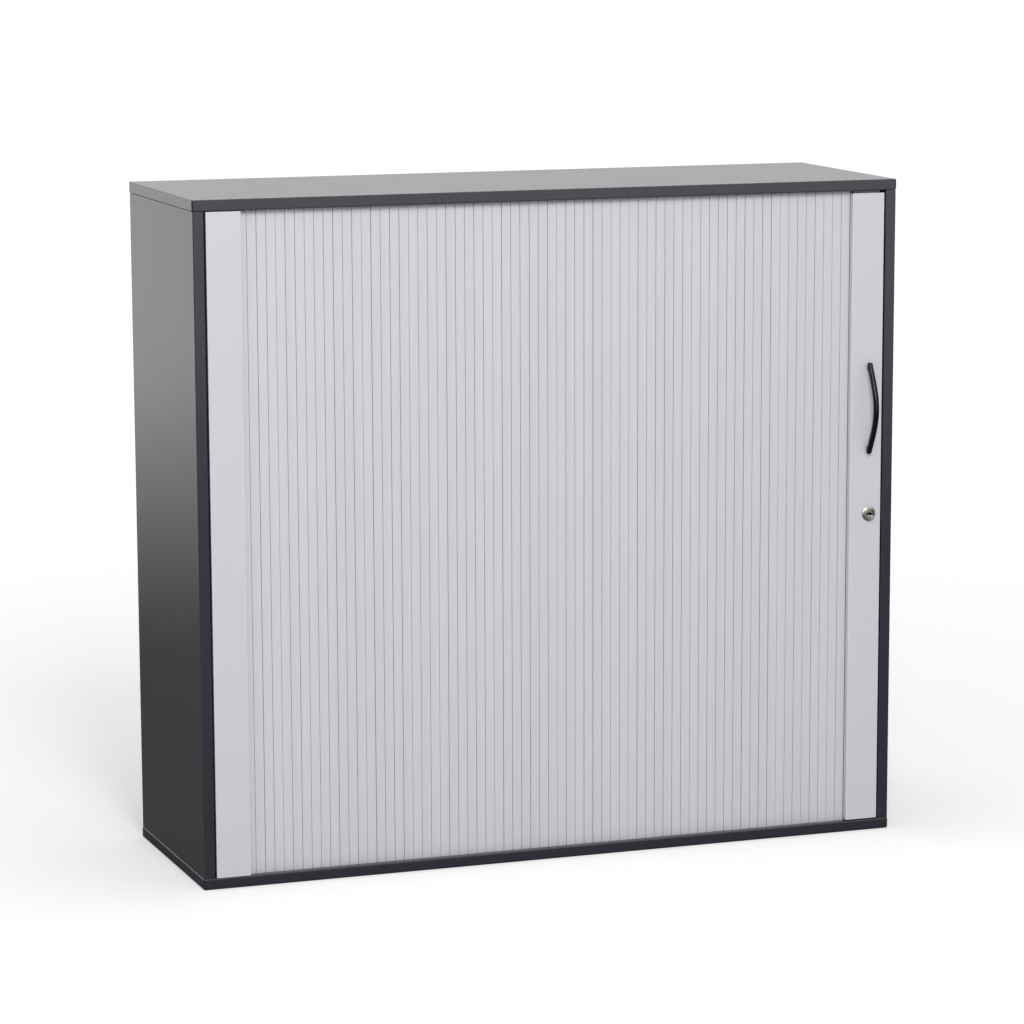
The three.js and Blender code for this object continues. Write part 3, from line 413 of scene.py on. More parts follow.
class Graph:
    """Adds nodes to one tree: an input that is a socket is linked, and a value is set."""

    def __init__(self, tree):
        self.tree = tree
        tree.nodes.clear()

    def node(self, kind, inputs=None, **settings):
        made = self.tree.nodes.new(kind)
        for key, value in settings.items():
            setattr(made, key, value)
        self.feed(made, inputs or {})
        return made

    def feed(self, made, inputs):
        for key, value in inputs.items():
            socket = made.inputs[key]
            if isinstance(value, bpy.types.NodeSocket):
                self.tree.links.new(value, socket)
            else:
                socket.default_value = value

    def math(self, operation, *values, clamp=False):
        inputs = dict(enumerate(values))
        made = self.node("ShaderNodeMath", inputs, operation=operation, use_clamp=clamp)
        return made.outputs[0]

    def product(self, first, second, clamp=False):
        return self.math("MULTIPLY", first, second, clamp=clamp)

    def rest(self, share):
        """What a share leaves of the whole."""
        return self.math("SUBTRACT", 1.0, share)

    def vector(self, operation, *values, result=0):
        inputs = dict(enumerate(values))
        return self.node("ShaderNodeVectorMath", inputs, operation=operation).outputs[result]

    def mix(self, factor, first, second, blend="MIX"):
        inputs = {0: factor, 6: first, 7: second}
        return self.node("ShaderNodeMix", inputs, data_type="RGBA", blend_type=blend).outputs[2]

    def times(self, tint, grey):
        """A colour multiplied by a plain value."""
        shade = self.node("ShaderNodeCombineColor", {0: grey, 1: grey, 2: grey}).outputs[0]
        return self.mix(1.0, tint, shade, blend="MULTIPLY")

    def noise(self, place, scale, detail=2.0, roughness=0.5):
        inputs = {"Vector": place, "Scale": scale, "Detail": detail, "Roughness": roughness}
        return self.node("ShaderNodeTexNoise", inputs).outputs["Fac"]

    def ramp(self, value, low, high, low_to=0.0, high_to=1.0):
        inputs = {0: value, 1: low, 2: high, 3: low_to, 4: high_to}
        return self.node("ShaderNodeMapRange", inputs, clamp=True).outputs[0]

    def own_place(self):
        """The piece's own coordinates."""
        return self.node("ShaderNodeTexCoord").outputs["Object"]

    def part(self, vector, axis):
        return self.node("ShaderNodeSeparateXYZ", {0: vector}).outputs[axis]

    def group(self, name, **inputs):
        return self.node("ShaderNodeGroup", inputs, node_tree=bpy.data.node_groups[name]).outputs[0]


def draw_drift(graph, tint, place, scale, amount):
    """Lightens and darkens a colour softly over the surface."""
    noise = graph.noise(place, scale, detail=4.0, roughness=0.6)
    swing = graph.product(graph.math("SUBTRACT", noise, 0.5), amount)
    return graph.times(tint, graph.math("ADD", 1.0, graph.product(swing, 2.0)))


def draw_crevice_shade(graph, tint, distance, depth):
    """Painted shade: darkens a colour deep in gaps and grooves, by how closed in a place is."""
    inputs = {"Distance": distance}
    open_share = graph.node("ShaderNodeAmbientOcclusion", inputs, samples=6).outputs["AO"]
    closed = graph.rest(graph.ramp(open_share, low=0.05, high=0.45))
    return graph.times(tint, graph.rest(graph.product(closed, depth)))


def draw_grain(graph, place, stretch, scale, balance):
    """A fine relief: even pearl and a longer grain in the stretched direction."""
    pearl = graph.noise(place, scale)
    long_place = graph.vector("MULTIPLY", place, stretch)
    streak = graph.noise(long_place, scale, detail=3.0, roughness=0.6)
    inputs = {0: balance, 2: pearl, 3: streak}
    return graph.node("ShaderNodeMix", inputs, data_type="FLOAT").outputs[0]


def draw_scuff(graph, place, stretch, scale, share):
    """Thin faint rubs and spots, as a mask."""
    patch_share = 0.12
    where = graph.noise(place, graph.product(scale, patch_share))
    long_place = graph.vector("MULTIPLY", place, stretch)
    lines = graph.noise(long_place, scale, detail=5.0, roughness=0.7)
    fine = graph.ramp(lines, low=graph.rest(share), high=1.0)
    return graph.product(fine, graph.ramp(where, low=0.45, high=0.7), clamp=True)


def draw_edge_wear_and_highlight(graph, place, radius, amount, scale, cover):
    """Edges as a mask: used for rubbed wear, and for a painted highlight where a pale colour is laid
    on them.
    """
    rounded = graph.node("ShaderNodeBevel", {"Radius": radius}, samples=4).outputs[0]
    normal = graph.node("ShaderNodeNewGeometry").outputs["Normal"]
    same = graph.vector("DOT_PRODUCT", rounded, normal, result="Value")
    edge = graph.ramp(graph.rest(same), low=0.01, high=0.16)
    patch = graph.ramp(graph.noise(place, scale, detail=5.0), low=0.42, high=0.62)
    patch = graph.math("MAXIMUM", patch, cover)
    return graph.product(graph.product(edge, patch), amount, clamp=True)


def draw_dust(graph, place, scale, amount):
    """Thin dust on faces that look up, as a mask."""
    upward = graph.part(graph.node("ShaderNodeNewGeometry").outputs["Normal"], "Z")
    specks = graph.noise(place, scale, detail=6.0, roughness=0.75)
    cloud_share = 0.02
    clouds = graph.noise(place, graph.product(scale, cloud_share))
    lying = graph.ramp(upward, low=0.6, high=0.95)
    mask = graph.product(lying, graph.ramp(specks, low=0.4, high=0.8))
    mask = graph.product(mask, graph.ramp(clouds, NOISE_LOW, NOISE_HIGH))
    return graph.product(mask, amount, clamp=True)


def draw_chip_and_highlight(graph, place, centre, radius):
    """One small spot round a centre, with a ragged outline, as a mask: used for chips and for a
    painted highlight.
    """
    apart = graph.vector("DISTANCE", place, centre, result="Value")
    least_share, ragged_share = 0.55, 0.9
    ragged = graph.product(graph.noise(place, scale=900.0, detail=4.0), ragged_share)
    reach = graph.product(radius, graph.math("ADD", ragged, least_share))
    return graph.math("LESS_THAN", apart, reach)


EFFECTS = {
    "colour_drift": (draw_drift, ("Color", "Vector", "Scale", "Amount"), "Color"),
    "painted_crevice_shade": (draw_crevice_shade, ("Color", "Distance", "Depth"), "Color"),
    "grain": (draw_grain, ("Vector", "Stretch", "Scale", "Balance"), "Height"),
    "scuff": (draw_scuff, ("Vector", "Stretch", "Scale", "Share"), "Mask"),
    "edge_wear_and_highlight": (draw_edge_wear_and_highlight, ("Vector", "Radius", "Amount", "Scale", "Cover"), "Mask"),
    "dust": (draw_dust, ("Vector", "Scale", "Amount"), "Mask"),
    "chip_and_highlight": (draw_chip_and_highlight, ("Vector", "Centre", "Radius"), "Mask"),
}
SOCKET_KINDS = {
    "Color": "NodeSocketColor",
    "Vector": "NodeSocketVector",
    "Stretch": "NodeSocketVector",
    "Centre": "NodeSocketVector",
}


def build_effects():
    """Builds each effect as a shader node group with named inputs and one result."""
    for name, (draw, labels, result) in EFFECTS.items():
        tree = bpy.data.node_groups.new(name, "ShaderNodeTree")
        for label, way in [*((label, "INPUT") for label in labels), (result, "OUTPUT")]:
            kind = SOCKET_KINDS.get(label, "NodeSocketFloat")
            tree.interface.new_socket(name=label, in_out=way, socket_type=kind)
        graph = Graph(tree)
        given = graph.node("NodeGroupInput").outputs
        made = draw(graph, *(given[label] for label in labels))
        graph.node("NodeGroupOutput", {0: made})


# Finishes


def opaque(rgb):
    return (*rgb, 1.0)


class Finish(Graph):
    """A material in the making: its shader, the piece's own coordinates and its shade so far."""

    def __init__(self, name, rgb, metallic=0.0, ior=1.5):
        material = bpy.data.materials.new(name)
        material.use_nodes = True
        material.diffuse_color = opaque(rgb)
        super().__init__(material.node_tree)
        self.shade = opaque(rgb)
        inputs = {"Base Color": self.shade, "Metallic": metallic, "IOR": ior}
        self.shader = self.node("ShaderNodeBsdfPrincipled", inputs)
        self.node("ShaderNodeOutputMaterial", {"Surface": self.shader.outputs[0]})
        self.place = self.own_place()

    def drift(self, scale, amount, stretch=None):
        place = self.vector("MULTIPLY", self.place, stretch) if stretch else self.place
        inputs = {"Color": self.shade, "Vector": place, "Scale": scale, "Amount": amount}
        self.shade = self.group("colour_drift", **inputs)

    def cover(self, mask, rgb):
        """Lays another colour over the shade where the mask says."""
        self.shade = self.mix(mask, self.shade, opaque(rgb))

    def rubs(self, stretch, scale, share, amount, rgb):
        mask = self.group("scuff", Vector=self.place, Stretch=stretch, Scale=scale, Share=share)
        self.cover(self.product(mask, amount), rgb)
        return mask

    # Laid along edges: used for rubbed wear and for painted highlights.
    def wear_and_highlight(self, radius, amount, scale, cover, rgb):
        inputs = {"Vector": self.place, "Radius": radius * MM, "Amount": amount}
        self.cover(self.group("edge_wear_and_highlight", **inputs, Scale=scale, Cover=cover), rgb)

    # A small spot: used for chips, and on the lock for a painted highlight.
    def chip_and_highlight(self, centre, radius, rgb):
        self.cover(self.group("chip_and_highlight", Vector=self.place, Centre=centre, Radius=radius * MM), rgb)

    # Painted shade: darkens the colour in gaps and grooves.
    def painted_crevice_shade(self, distance, depth):
        self.shade = self.group("painted_crevice_shade", Color=self.shade, Distance=distance * MM, Depth=depth)

    def relief(self, height, strength, distance):
        inputs = {"Height": height, "Strength": strength, "Distance": distance * MM}
        self.feed(self.shader, {"Normal": self.node("ShaderNodeBump", inputs).outputs["Normal"]})

    def grain(self, scale, balance, strength, stretch=(1.0, 1.0, 1.0), distance=0.1):
        inputs = {"Vector": self.place, "Stretch": stretch, "Scale": scale, "Balance": balance}
        self.relief(self.group("grain", **inputs), strength, distance)

    def gloss(self, scale, low, high, detail=2.0):
        """Roughness that wanders from low to high."""
        noise = self.noise(self.place, scale, detail=detail)
        return self.ramp(noise, NOISE_LOW, NOISE_HIGH, low_to=low, high_to=high)

    def complete(self, roughness):
        self.feed(self.shader, {"Base Color": self.shade, "Roughness": roughness})


def board_finish(name, rgb, roughness, ior, stretch=(1.0, 1.0, 0.2), chip=None):
    """Melamine faced board: fine pearl, faint rubs, worn edges with a painted highlight, a little
    dust and painted shade in gaps.
    """
    finish = Finish(name, rgb, ior=ior)
    finish.drift(scale=5.0, amount=0.07)
    rubbed = (0.16, 0.16, 0.17)
    rubs = finish.rubs((1.0, 1.0, 0.12), scale=60.0, share=0.42, amount=0.04, rgb=rubbed)
    dust = finish.group("dust", Vector=finish.place, Scale=420.0, Amount=0.02)
    finish.cover(dust, (0.42, 0.41, 0.39))
    # Paler edges: partly wear, partly a painted highlight along the arrises.
    finish.wear_and_highlight(radius=1.6, amount=0.4, scale=90.0, cover=0.5, rgb=(0.20, 0.20, 0.21))
    if chip:
        finish.chip_and_highlight(**chip, rgb=(0.80, 0.79, 0.76))
    # Painted shade in gaps and grooves.
    finish.painted_crevice_shade(distance=9, depth=0.9)
    finish.grain(scale=1400.0, balance=0.45, strength=0.08, stretch=stretch)
    rough = finish.gloss(scale=9.0, low=roughness - 0.005, high=roughness + 0.008, detail=3.0)
    rubs_add = 0.04
    finish.complete(finish.math("ADD", rough, finish.product(rubs, rubs_add)))


def panel_finish():
    """Cool grey foiled profile: very fine peel with soft lengthwise drift, a painted highlight along
    its edges and painted shade in gaps.
    """
    along = (1.0, 1.0, 0.2)
    finish = Finish("panel_foil", colours().panel)
    finish.drift(scale=8.0, amount=0.012, stretch=along)
    finish.rubs(along, scale=110.0, share=0.38, amount=0.10, rgb=(0.42, 0.42, 0.44))
    # Painted highlight: a near-white line along the panels' rounded edges.
    finish.wear_and_highlight(radius=1.8, amount=1.0, scale=90.0, cover=1.0, rgb=(0.93, 0.93, 0.95))
    # Painted shade in gaps and grooves.
    finish.painted_crevice_shade(distance=8, depth=0.9)
    finish.grain(scale=900.0, balance=0.3, strength=0.08, stretch=(1.0, 1.0, 0.08))
    finish.complete(finish.gloss(scale=30.0, low=0.38, high=0.46))


def slat_finish():
    """Matt light grey plastic with fine lines of extrusion, each slat a shade apart, and painted
    shade under the top board.
    """
    finish = Finish("slat_plastic", colours().slat)
    place = finish.place
    slats_along = finish.math("DIVIDE", finish.part(place, "X"), sizes().slat_pitch)
    inputs = {"W": finish.math("FLOOR", slats_along)}
    own = finish.node("ShaderNodeTexWhiteNoise", inputs, noise_dimensions="1D").outputs[0]
    finish.drift(scale=11.0, amount=0.02, stretch=(1.0, 1.0, 0.25))
    swing = finish.ramp(own, 0, 1, low_to=0.985, high_to=1.015)
    finish.shade = finish.times(finish.shade, swing)
    along = (1.0, 1.0, 0.3)
    finish.rubs(along, scale=150.0, share=0.36, amount=0.16, rgb=(0.36, 0.35, 0.35))
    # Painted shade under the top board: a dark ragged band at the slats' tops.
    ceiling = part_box("top_panel")[0].z
    shade_start, shade_full = ceiling - 9 * MM, ceiling - 1 * MM
    under = finish.ramp(finish.part(place, "Z"), shade_start, shade_full)
    noise = finish.noise(place, scale=180.0, detail=5.0, roughness=0.7)
    ragged = finish.ramp(noise, low=0.35, high=0.7, low_to=0.25, high_to=0.9)
    finish.cover(finish.product(under, ragged), (0.10, 0.10, 0.10))
    # Painted shade in gaps and grooves.
    finish.painted_crevice_shade(distance=4, depth=0.5)
    finish.grain(scale=1100.0, balance=0.75, strength=0.12, stretch=(1.0, 1.0, 0.02))
    finish.complete(finish.gloss(scale=60.0, low=0.46, high=0.56))


def moulded_finish(name, rgb, roughness, scale=700.0, strength=0.15, ior=1.5):
    """Moulded plastic or rubber: an even fine texture and rubbed edges."""
    finish = Finish(name, rgb, ior=ior)
    finish.drift(scale=25.0, amount=0.06)
    gain, lift = 1.6, 0.02
    paler = tuple(min(1.0, part * gain + lift) for part in rgb)
    finish.wear_and_highlight(radius=0.6, amount=0.25, scale=160.0, cover=0.0, rgb=paler)
    # Painted shade in gaps and grooves.
    finish.painted_crevice_shade(distance=5, depth=0.8)
    finish.grain(scale, balance=0.5, strength=strength)
    finish.complete(finish.gloss(scale=45.0, low=roughness - 0.05, high=roughness + 0.07))


def handle_finish():
    """Near black satin powder coat with a fine peel."""
    finish = Finish("handle_coat", colours().handle, ior=1.35)
    finish.drift(scale=60.0, amount=0.15)
    finish.grain(scale=1300.0, balance=0.5, strength=0.10, distance=0.06)
    finish.complete(finish.gloss(scale=80.0, low=0.18, high=0.24))


def nickel_finish():
    """Satin nickel plate, turned: fine rings round the lock's axis, and a painted highlight below the
    keyway.
    """
    finish = Finish("nickel_plate", colours().nickel, metallic=1.0)
    low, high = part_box("lock_barrel")
    offset = finish.vector("SUBTRACT", finish.place, (low + high) / 2)
    flat = finish.vector("MULTIPLY", offset, (1.0, 0.0, 1.0))
    radius = finish.vector("LENGTH", flat, result="Value")
    inputs = {"W": radius, "Scale": 9000.0, "Detail": 3.0}
    rings = finish.node("ShaderNodeTexNoise", inputs, noise_dimensions="1D").outputs["Fac"]
    finish.drift(scale=220.0, amount=0.10)
    finish.wear_and_highlight(radius=0.5, amount=0.4, scale=400.0, cover=0.0, rgb=(0.66, 0.62, 0.55))
    middle, face_y = plug_face()
    # Painted highlight: a bright spot on the plug's face below the keyway.
    highlight_drop = 3.0 * MM
    highlight_spot = Vector((middle.x, face_y, middle.z - highlight_drop))
    finish.chip_and_highlight(highlight_spot, radius=1.5, rgb=(0.97, 0.95, 0.92))
    # Painted shade in the lock's hollows.
    finish.painted_crevice_shade(distance=6, depth=0.85)
    finish.relief(rings, strength=0.05, distance=0.02)
    finish.complete(finish.gloss(scale=300.0, low=0.31, high=0.38, detail=4.0))


def plated_finish(name, rgb, roughness, scale):
    """Plated or cast metal with a mottled sheen."""
    finish = Finish(name, rgb, metallic=1.0)
    finish.drift(scale=90.0, amount=0.16)
    finish.grain(scale, balance=0.5, strength=0.2, stretch=(1.0, 1.0, 0.15), distance=0.06)
    low, high = roughness - 0.08, roughness + 0.1
    finish.complete(finish.gloss(scale=260.0, low=low, high=high, detail=4.0))


def prepare_finishes():
    """Builds the shared effects and then each finish once."""
    build_effects()
    shades = colours()
    side_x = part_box("left_side_panel")[0].x
    foot_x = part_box("bottom_panel")[0].x
    foot_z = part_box("bottom_panel")[1].z
    side_chip = {"centre": (side_x, 0.086, 0.743), "radius": 1.0}
    foot_chip = {"centre": (foot_x, -0.032, foot_z), "radius": 1.6}
    board_finish("board_face", shades.board_face, roughness=0.26, ior=1.48)
    board_finish("side_board_face", shades.board_face, roughness=0.22, ior=1.52, chip=side_chip)
    board_finish(
        "board_edge_band", shades.board_edge, roughness=0.18, ior=1.58, stretch=(0.2, 1.0, 0.2),
        chip=foot_chip,
    )
    board_finish("back_board_face", shades.back_board, roughness=0.40, ior=1.5)
    panel_finish()
    slat_finish()
    moulded_finish("track_plastic", shades.track, roughness=0.42)
    moulded_finish("glide_plastic", shades.glide, roughness=0.45)
    moulded_finish("buffer_rubber", shades.rubber, roughness=0.8, scale=1200.0, strength=0.3)
    # Painted shade for the inside of the keyway, with little reflection.
    moulded_finish("keyway_shade", shades.keyway_shade, roughness=0.8, ior=1.1)
    handle_finish()
    nickel_finish()
    plated_finish("zinc_plate", shades.steel, roughness=0.32, scale=900.0)
    plated_finish("cast_zinc", shades.zinc, roughness=0.42, scale=500.0)


# Carcass


def track_band(width):
    """The band that a width takes along the track in plan, as a closed loop of points."""
    low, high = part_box("lower_guide_track")
    size = sizes()
    half = width / 2
    half_track = size.track_width / 2
    front = low.y + half_track
    rear = high.y - half_track
    turn = size.track_turn
    centre_x = low.x + half_track + turn
    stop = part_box("track_stop_lower")[1].x

    def corner(y, start, end, radius, steps=16):
        return [(centre_x + x, y + rise) for x, rise in arc(radius, start, end, steps)]

    outer = turn + half
    inner = turn - half
    points = [(high.x, front - half)]
    points += corner(front + turn, -QUARTER, -2 * QUARTER, outer)
    points += corner(rear - turn, 2 * QUARTER, QUARTER, outer)
    points += [(stop, rear + half), (stop, rear - half)]
    points += corner(rear - turn, QUARTER, 2 * QUARTER, inner)
    points += corner(front + turn, -2 * QUARTER, -QUARTER, inner)
    points += [(high.x, front + half)]
    return points


def cap_board(node, mouth, root, bottom_edge):
    """The top or bottom board with the groove that its track is pressed into."""
    low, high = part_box(node)
    size = sizes()
    form = board_form(low, high, size.board_corner, size.board_edge, bottom_edge)
    piece = finished(form, f"{node}_fine", node, BOARD, flat=False)
    band = track_band(size.track_width + 2 * size.seat_gap)
    combine(piece, upright(band, (mouth, root)), "DIFFERENCE")
    face_slots(piece.data, Z)
    flatten_faces(piece)


def build_boards():
    """Top and bottom boards, sides, back, inner boards and shelves."""
    size = sizes()
    gap = size.seat_gap
    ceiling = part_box("top_panel")[0].z
    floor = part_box("bottom_panel")[1].z
    upper_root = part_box("upper_guide_track")[1].z + gap
    lower_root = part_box("lower_guide_track")[0].z - gap
    cap_board("top_panel", ceiling - gap, upper_root, size.board_edge)
    cap_board("bottom_panel", floor + gap, lower_root, size.board_foot)
    arris = size.board_arris
    dress("left_side_panel", ["side_board_face", "board_edge_band"], arris, thin_axis=X)
    uprights = ("right_side_panel", "left_liner_panel", "middle_partition")
    dress_all(uprights, BOARD, arris, thin_axis=X)
    shelves = [node for node in sorted(NODES) if node.startswith("shelf_") and "pin" not in node]
    dress_all(shelves, BOARD, arris, thin_axis=Z)
    dress_all(("back_panel", "inner_back_panel"), ["back_board_face"], size.eased_edge)


# Curtain


def track_point(distance, start):
    """A place on the track's centre line, measured from the pull panel."""
    size = sizes()
    turn = size.track_turn
    run_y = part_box("shutter_curtain")[0].y + size.slat_thickness / 2
    run_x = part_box("lower_guide_track")[0].x + size.track_width / 2
    straight = start - run_x - turn
    if distance <= straight:
        return Vector((start - distance, run_y))
    turned_by = distance - straight
    if turned_by <= turn * QUARTER:
        angle = -QUARTER - turned_by / turn
        centre = Vector((run_x + turn, run_y + turn))
        return centre + Vector((turn * math.cos(angle), turn * math.sin(angle)))
    return Vector((run_x, run_y + turn + turned_by - turn * QUARTER))


def slat_section(index, start, sway):
    """One slat in plan: its front points from right to left, and its rear points."""
    size = sizes()
    first = track_point(index * size.slat_pitch, start)
    last = track_point((index + 1) * size.slat_pitch, start)
    along = (last - first).normalized()
    outward = Vector((-along.y, along.x))
    middle = (first + last) / 2
    front = size.slat_thickness / 2
    strip = size.slat_hinge / 2
    half = (last - first).length / 2
    face = half - size.slat_groove / 2
    right = -face + sway.uniform(-size.slat_play, size.slat_play)
    left = face + sway.uniform(-size.slat_play, size.slat_play)
    tilt = sway.uniform(-SLAT_TILT, SLAT_TILT)
    bend = size.slat_pitch / size.track_turn / 2
    back = half - front * math.tan(bend) - size.seat_gap
    shoulder = size.slat_shoulder
    crest = front - size.slat_crown
    rounding = arc(shoulder, 0, QUARTER, ARC_STEPS)
    spots = [(right + shoulder - x, crest - shoulder + y) for x, y in rounding]
    for share in (-1, 0, 1):
        spots.append((share * (face - shoulder), front - size.slat_crown * share ** 2))
    spots += [(left - shoulder + x, crest - shoulder + y) for x, y in reversed(rounding)]

    def at(t, n):
        return middle + along * t + outward * n

    faces = [at(t, n - abs(tilt) * face + tilt * t) for t, n in spots]
    right_foot = -front + size.slat_hinge if index == 0 else strip
    faces = [at(right, right_foot), *faces, at(left, strip)]
    rear = [at(right, -front)] if index == 0 else [at(right, -strip), at(-back, -front)]
    rear += [at(back, -front), at(left, -strip)]
    return faces, rear


def build_curtain():
    """The slats on their hinge strips as one ribbon, and the bead that the pull panel hooks."""
    size = sizes()
    low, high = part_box("shutter_curtain")
    pull_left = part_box("leading_panel")[0].x
    start = pull_left - size.slat_groove / 2 - size.seat_gap
    fixed_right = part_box("fixed_front_panel")[1].x
    count = math.ceil((pull_left - fixed_right) / size.slat_pitch) + size.tail_slats
    sway = random.Random(SLAT_SEED)
    form = bmesh.new()
    front_rows = ([], [])
    rear_rows = ([], [])
    for index in range(count):
        faces, rear = slat_section(index, start, sway)
        for end, z in enumerate((low.z, high.z)):
            fronts = [form.verts.new((p.x, p.y, z)) for p in faces]
            rears = [form.verts.new((p.x, p.y, z)) for p in rear]
            form.faces.new(fronts + rears[::-1])
            if index:
                last_front, last_rear = front_rows[end][-1], rear_rows[end][-1]
                form.faces.new((last_front, fronts[0], rears[0], last_rear))
            front_rows[end].extend(fronts)
            rear_rows[end].extend(rears)
    bridge(form, front_rows, closed=False)
    bridge(form, rear_rows, closed=False)
    for side in (0, -1):
        form.faces.new((
            front_rows[0][side], front_rows[1][side], rear_rows[1][side], rear_rows[0][side],
        ))
    piece = finished(form, "slat_curtain", "shutter_curtain", ["slat_plastic"])
    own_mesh(piece)
    build_bead(low, high, pull_left)


def build_bead(low, high, pull_left):
    """The curtain's first strip with its bead, carried by the pull panel."""
    size = sizes()
    rear = low.y + size.slat_thickness
    outline = [
        (pull_left, rear - size.slat_hinge),
        (high.x - size.bead, rear - size.slat_hinge),
        (high.x - size.bead, rear - size.bead),
        (high.x, rear - size.bead),
        (high.x, rear),
        (pull_left, rear),
    ]
    form = upright(outline, (low.z, high.z))
    ease(form, size.metal_edge)
    finished(form, "curtain_bead", "shutter_curtain", ["slat_plastic"], body="door")


# Front panels, handle and lock


def build_panels():
    """The fixed panel, the pull panel and its two caps, all in the panel's colour."""
    nodes = ("fixed_front_panel", "leading_panel", "leading_cap_lower", "leading_cap_upper")
    dress_all(nodes, ["panel_foil"], sizes().panel_arris)


def bow(along, long, reach):
    """The bow's rise from its seat and its slope, at a distance from its end."""
    fullness = sizes().handle_fullness
    phase = math.pi * along / long
    swell = max(math.sin(phase), 0)
    slope = reach * fullness * math.pi / long * swell ** (fullness - 1) * math.cos(phase)
    return reach * swell ** fullness, slope


def handle_rod(low, long, reach, seat, plane, rings=120, around=48, dome_steps=10):
    """A rod with domed ends along the bow, flat where it meets the panel."""
    size = sizes()
    end = size.handle_end
    centre_x = low.x + size.handle_middle
    dome = [end * (1 - math.cos(step / dome_steps * QUARTER)) for step in range(dome_steps)]
    places = dome + [end + (long - 2 * end) * ring / rings for ring in range(rings + 1)]
    places += [long - place for place in reversed(dome)]
    points = []
    for along in places:
        full = end + (size.handle_middle - end) * math.sin(math.pi * along / long)
        inset = min(along, long - along, end) / end
        radius = max(full * math.sqrt(max(1 - (1 - inset) ** 2, 0)), WELD)
        rise, slope = bow(along, long, reach)
        norm = math.hypot(1, slope)
        ring = []
        for step in range(around):
            angle = 2 * math.pi * step / around
            out = radius * math.cos(angle)
            y = min(seat - rise - out / norm, plane)
            z = low.z + along - out * slope / norm
            ring.append((centre_x + radius * math.sin(angle), y, z))
        points.append(ring)
    return loft(points), centre_x


def handle_foot(low, long, reach, seat, plane, centre_x, lower, steps=12):
    """A foot under one end of the bow, from its axis to the panel."""
    size = sizes()
    start = size.handle_end
    places = [start + (size.handle_foot_length - start) * step / steps for step in range(steps + 1)]
    outline = [(plane, places[0])]
    outline += [(seat - bow(along, long, reach)[0], along) for along in places]
    outline += [(plane, places[-1])]
    half = size.handle_foot_width / 2
    base = low.z if lower else low.z + long
    sign = 1 if lower else -1
    sides = (centre_x - half, centre_x + half)
    form = loft([[(x, y, base + sign * along) for y, along in outline] for x in sides])
    softer = 3
    ease(form, size.eased_edge * softer, segments=3)
    return form


def build_handle():
    """The bow on its two feet, and the screws that hold it."""
    size = sizes()
    low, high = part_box("pull_handle")
    panel_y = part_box("leading_panel")[0].y
    long = high.z - low.z
    plane = panel_y - size.seat_gap
    seat = panel_y - size.handle_end + size.handle_flat
    reach = seat - size.handle_middle - low.y
    rod, centre_x = handle_rod(low, long, reach, seat, plane)
    piece = finished(rod, "bow_handle", "pull_handle", ["handle_coat"], flat=False)
    for lower in (True, False):
        combine(piece, handle_foot(low, long, reach, seat, plane, centre_x, lower), "UNION")
    dress_all(("handle_screw_lower", "handle_screw_upper"), ["zinc_plate"], size.metal_edge)


def flare_keyway(form):
    """Widens the keyway towards the plug's face, as keys wear it."""
    size = sizes()
    middle, face_y = plug_face()
    for vert in form.verts:
        x = vert.co.x - middle.x
        z = vert.co.z - middle.z
        if abs(vert.co.y - face_y) < WELD and math.hypot(x, z) < size.keyway_reach:
            vert.co.x += math.copysign(size.keyway_mouth, x)
            vert.co.z += math.copysign(size.keyway_mouth, z)


def paint_keyway_shade(plug):
    """Gives the faces inside the keyway the near black material, a painted shade, and leaves the
    plug's own face.
    """
    size = sizes()
    middle, face_y = plug_face()
    facing_out = -0.99
    for face in plug.data.polygons:
        centre = face.center
        inside = math.hypot(centre.x - middle.x, centre.z - middle.z) < size.keyway_reach
        shallow = centre.y - face_y < size.keyway_depth
        if inside and shallow and face.normal.y > facing_out:
            face.material_index = 1


def build_lock():
    """The barrel turned finely, the plug with its keyway, and the cam behind."""
    size = sizes()
    low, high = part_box("lock_barrel")
    flange = (high.x - low.x) / 2
    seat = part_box("leading_panel")[0].y - size.seat_gap
    cone_top = seat - size.lock_flange
    chamfer = size.lock_chamfer
    soft = size.metal_edge
    rounding = reversed(arc(chamfer, 0, QUARTER, ARC_STEPS))
    outline = [
        (size.lock_bore, high.y),
        (size.lock_bore, low.y + chamfer),
        (size.lock_bore + chamfer, low.y),
        *((size.lock_step - chamfer + x, low.y + chamfer - y) for x, y in rounding),
        (size.lock_step, cone_top - soft),
        (size.lock_step + soft, cone_top),
        (flange - soft, seat - size.lock_rim - soft / 2),
        (flange, seat - size.lock_rim + soft / 2),
        (flange, seat),
        (size.lock_body, seat),
        (size.lock_body, high.y),
    ]
    form = turned(outline, (low + high) / 2, Y, segments=96, hollow=True)
    finished(form, "lock_rings", "lock_barrel", ["nickel_plate"])
    plug = dress("lock_plug", ["nickel_plate", "keyway_shade"], soft, reshape=flare_keyway)
    paint_keyway_shade(plug)
    dress_all(("lock_nut", "hook_cam", "cam_screw", "strike_plate"), ["zinc_plate"], soft)


# Track and small fittings


def build_track():
    """Guide tracks, their stops, the panel clips and the rubber buffers."""
    size = sizes()
    tracks = ("upper_guide_track", "lower_guide_track", "track_stop_upper", "track_stop_lower")
    dress_all(tracks, ["track_plastic"], size.metal_edge)
    clips = ("fixed_panel_clip_lower", "fixed_panel_clip_upper")
    dress_all(clips, ["glide_plastic"], size.eased_edge)
    dress_all(("door_buffer_lower", "door_buffer_upper"), ["buffer_rubber"], size.eased_edge)


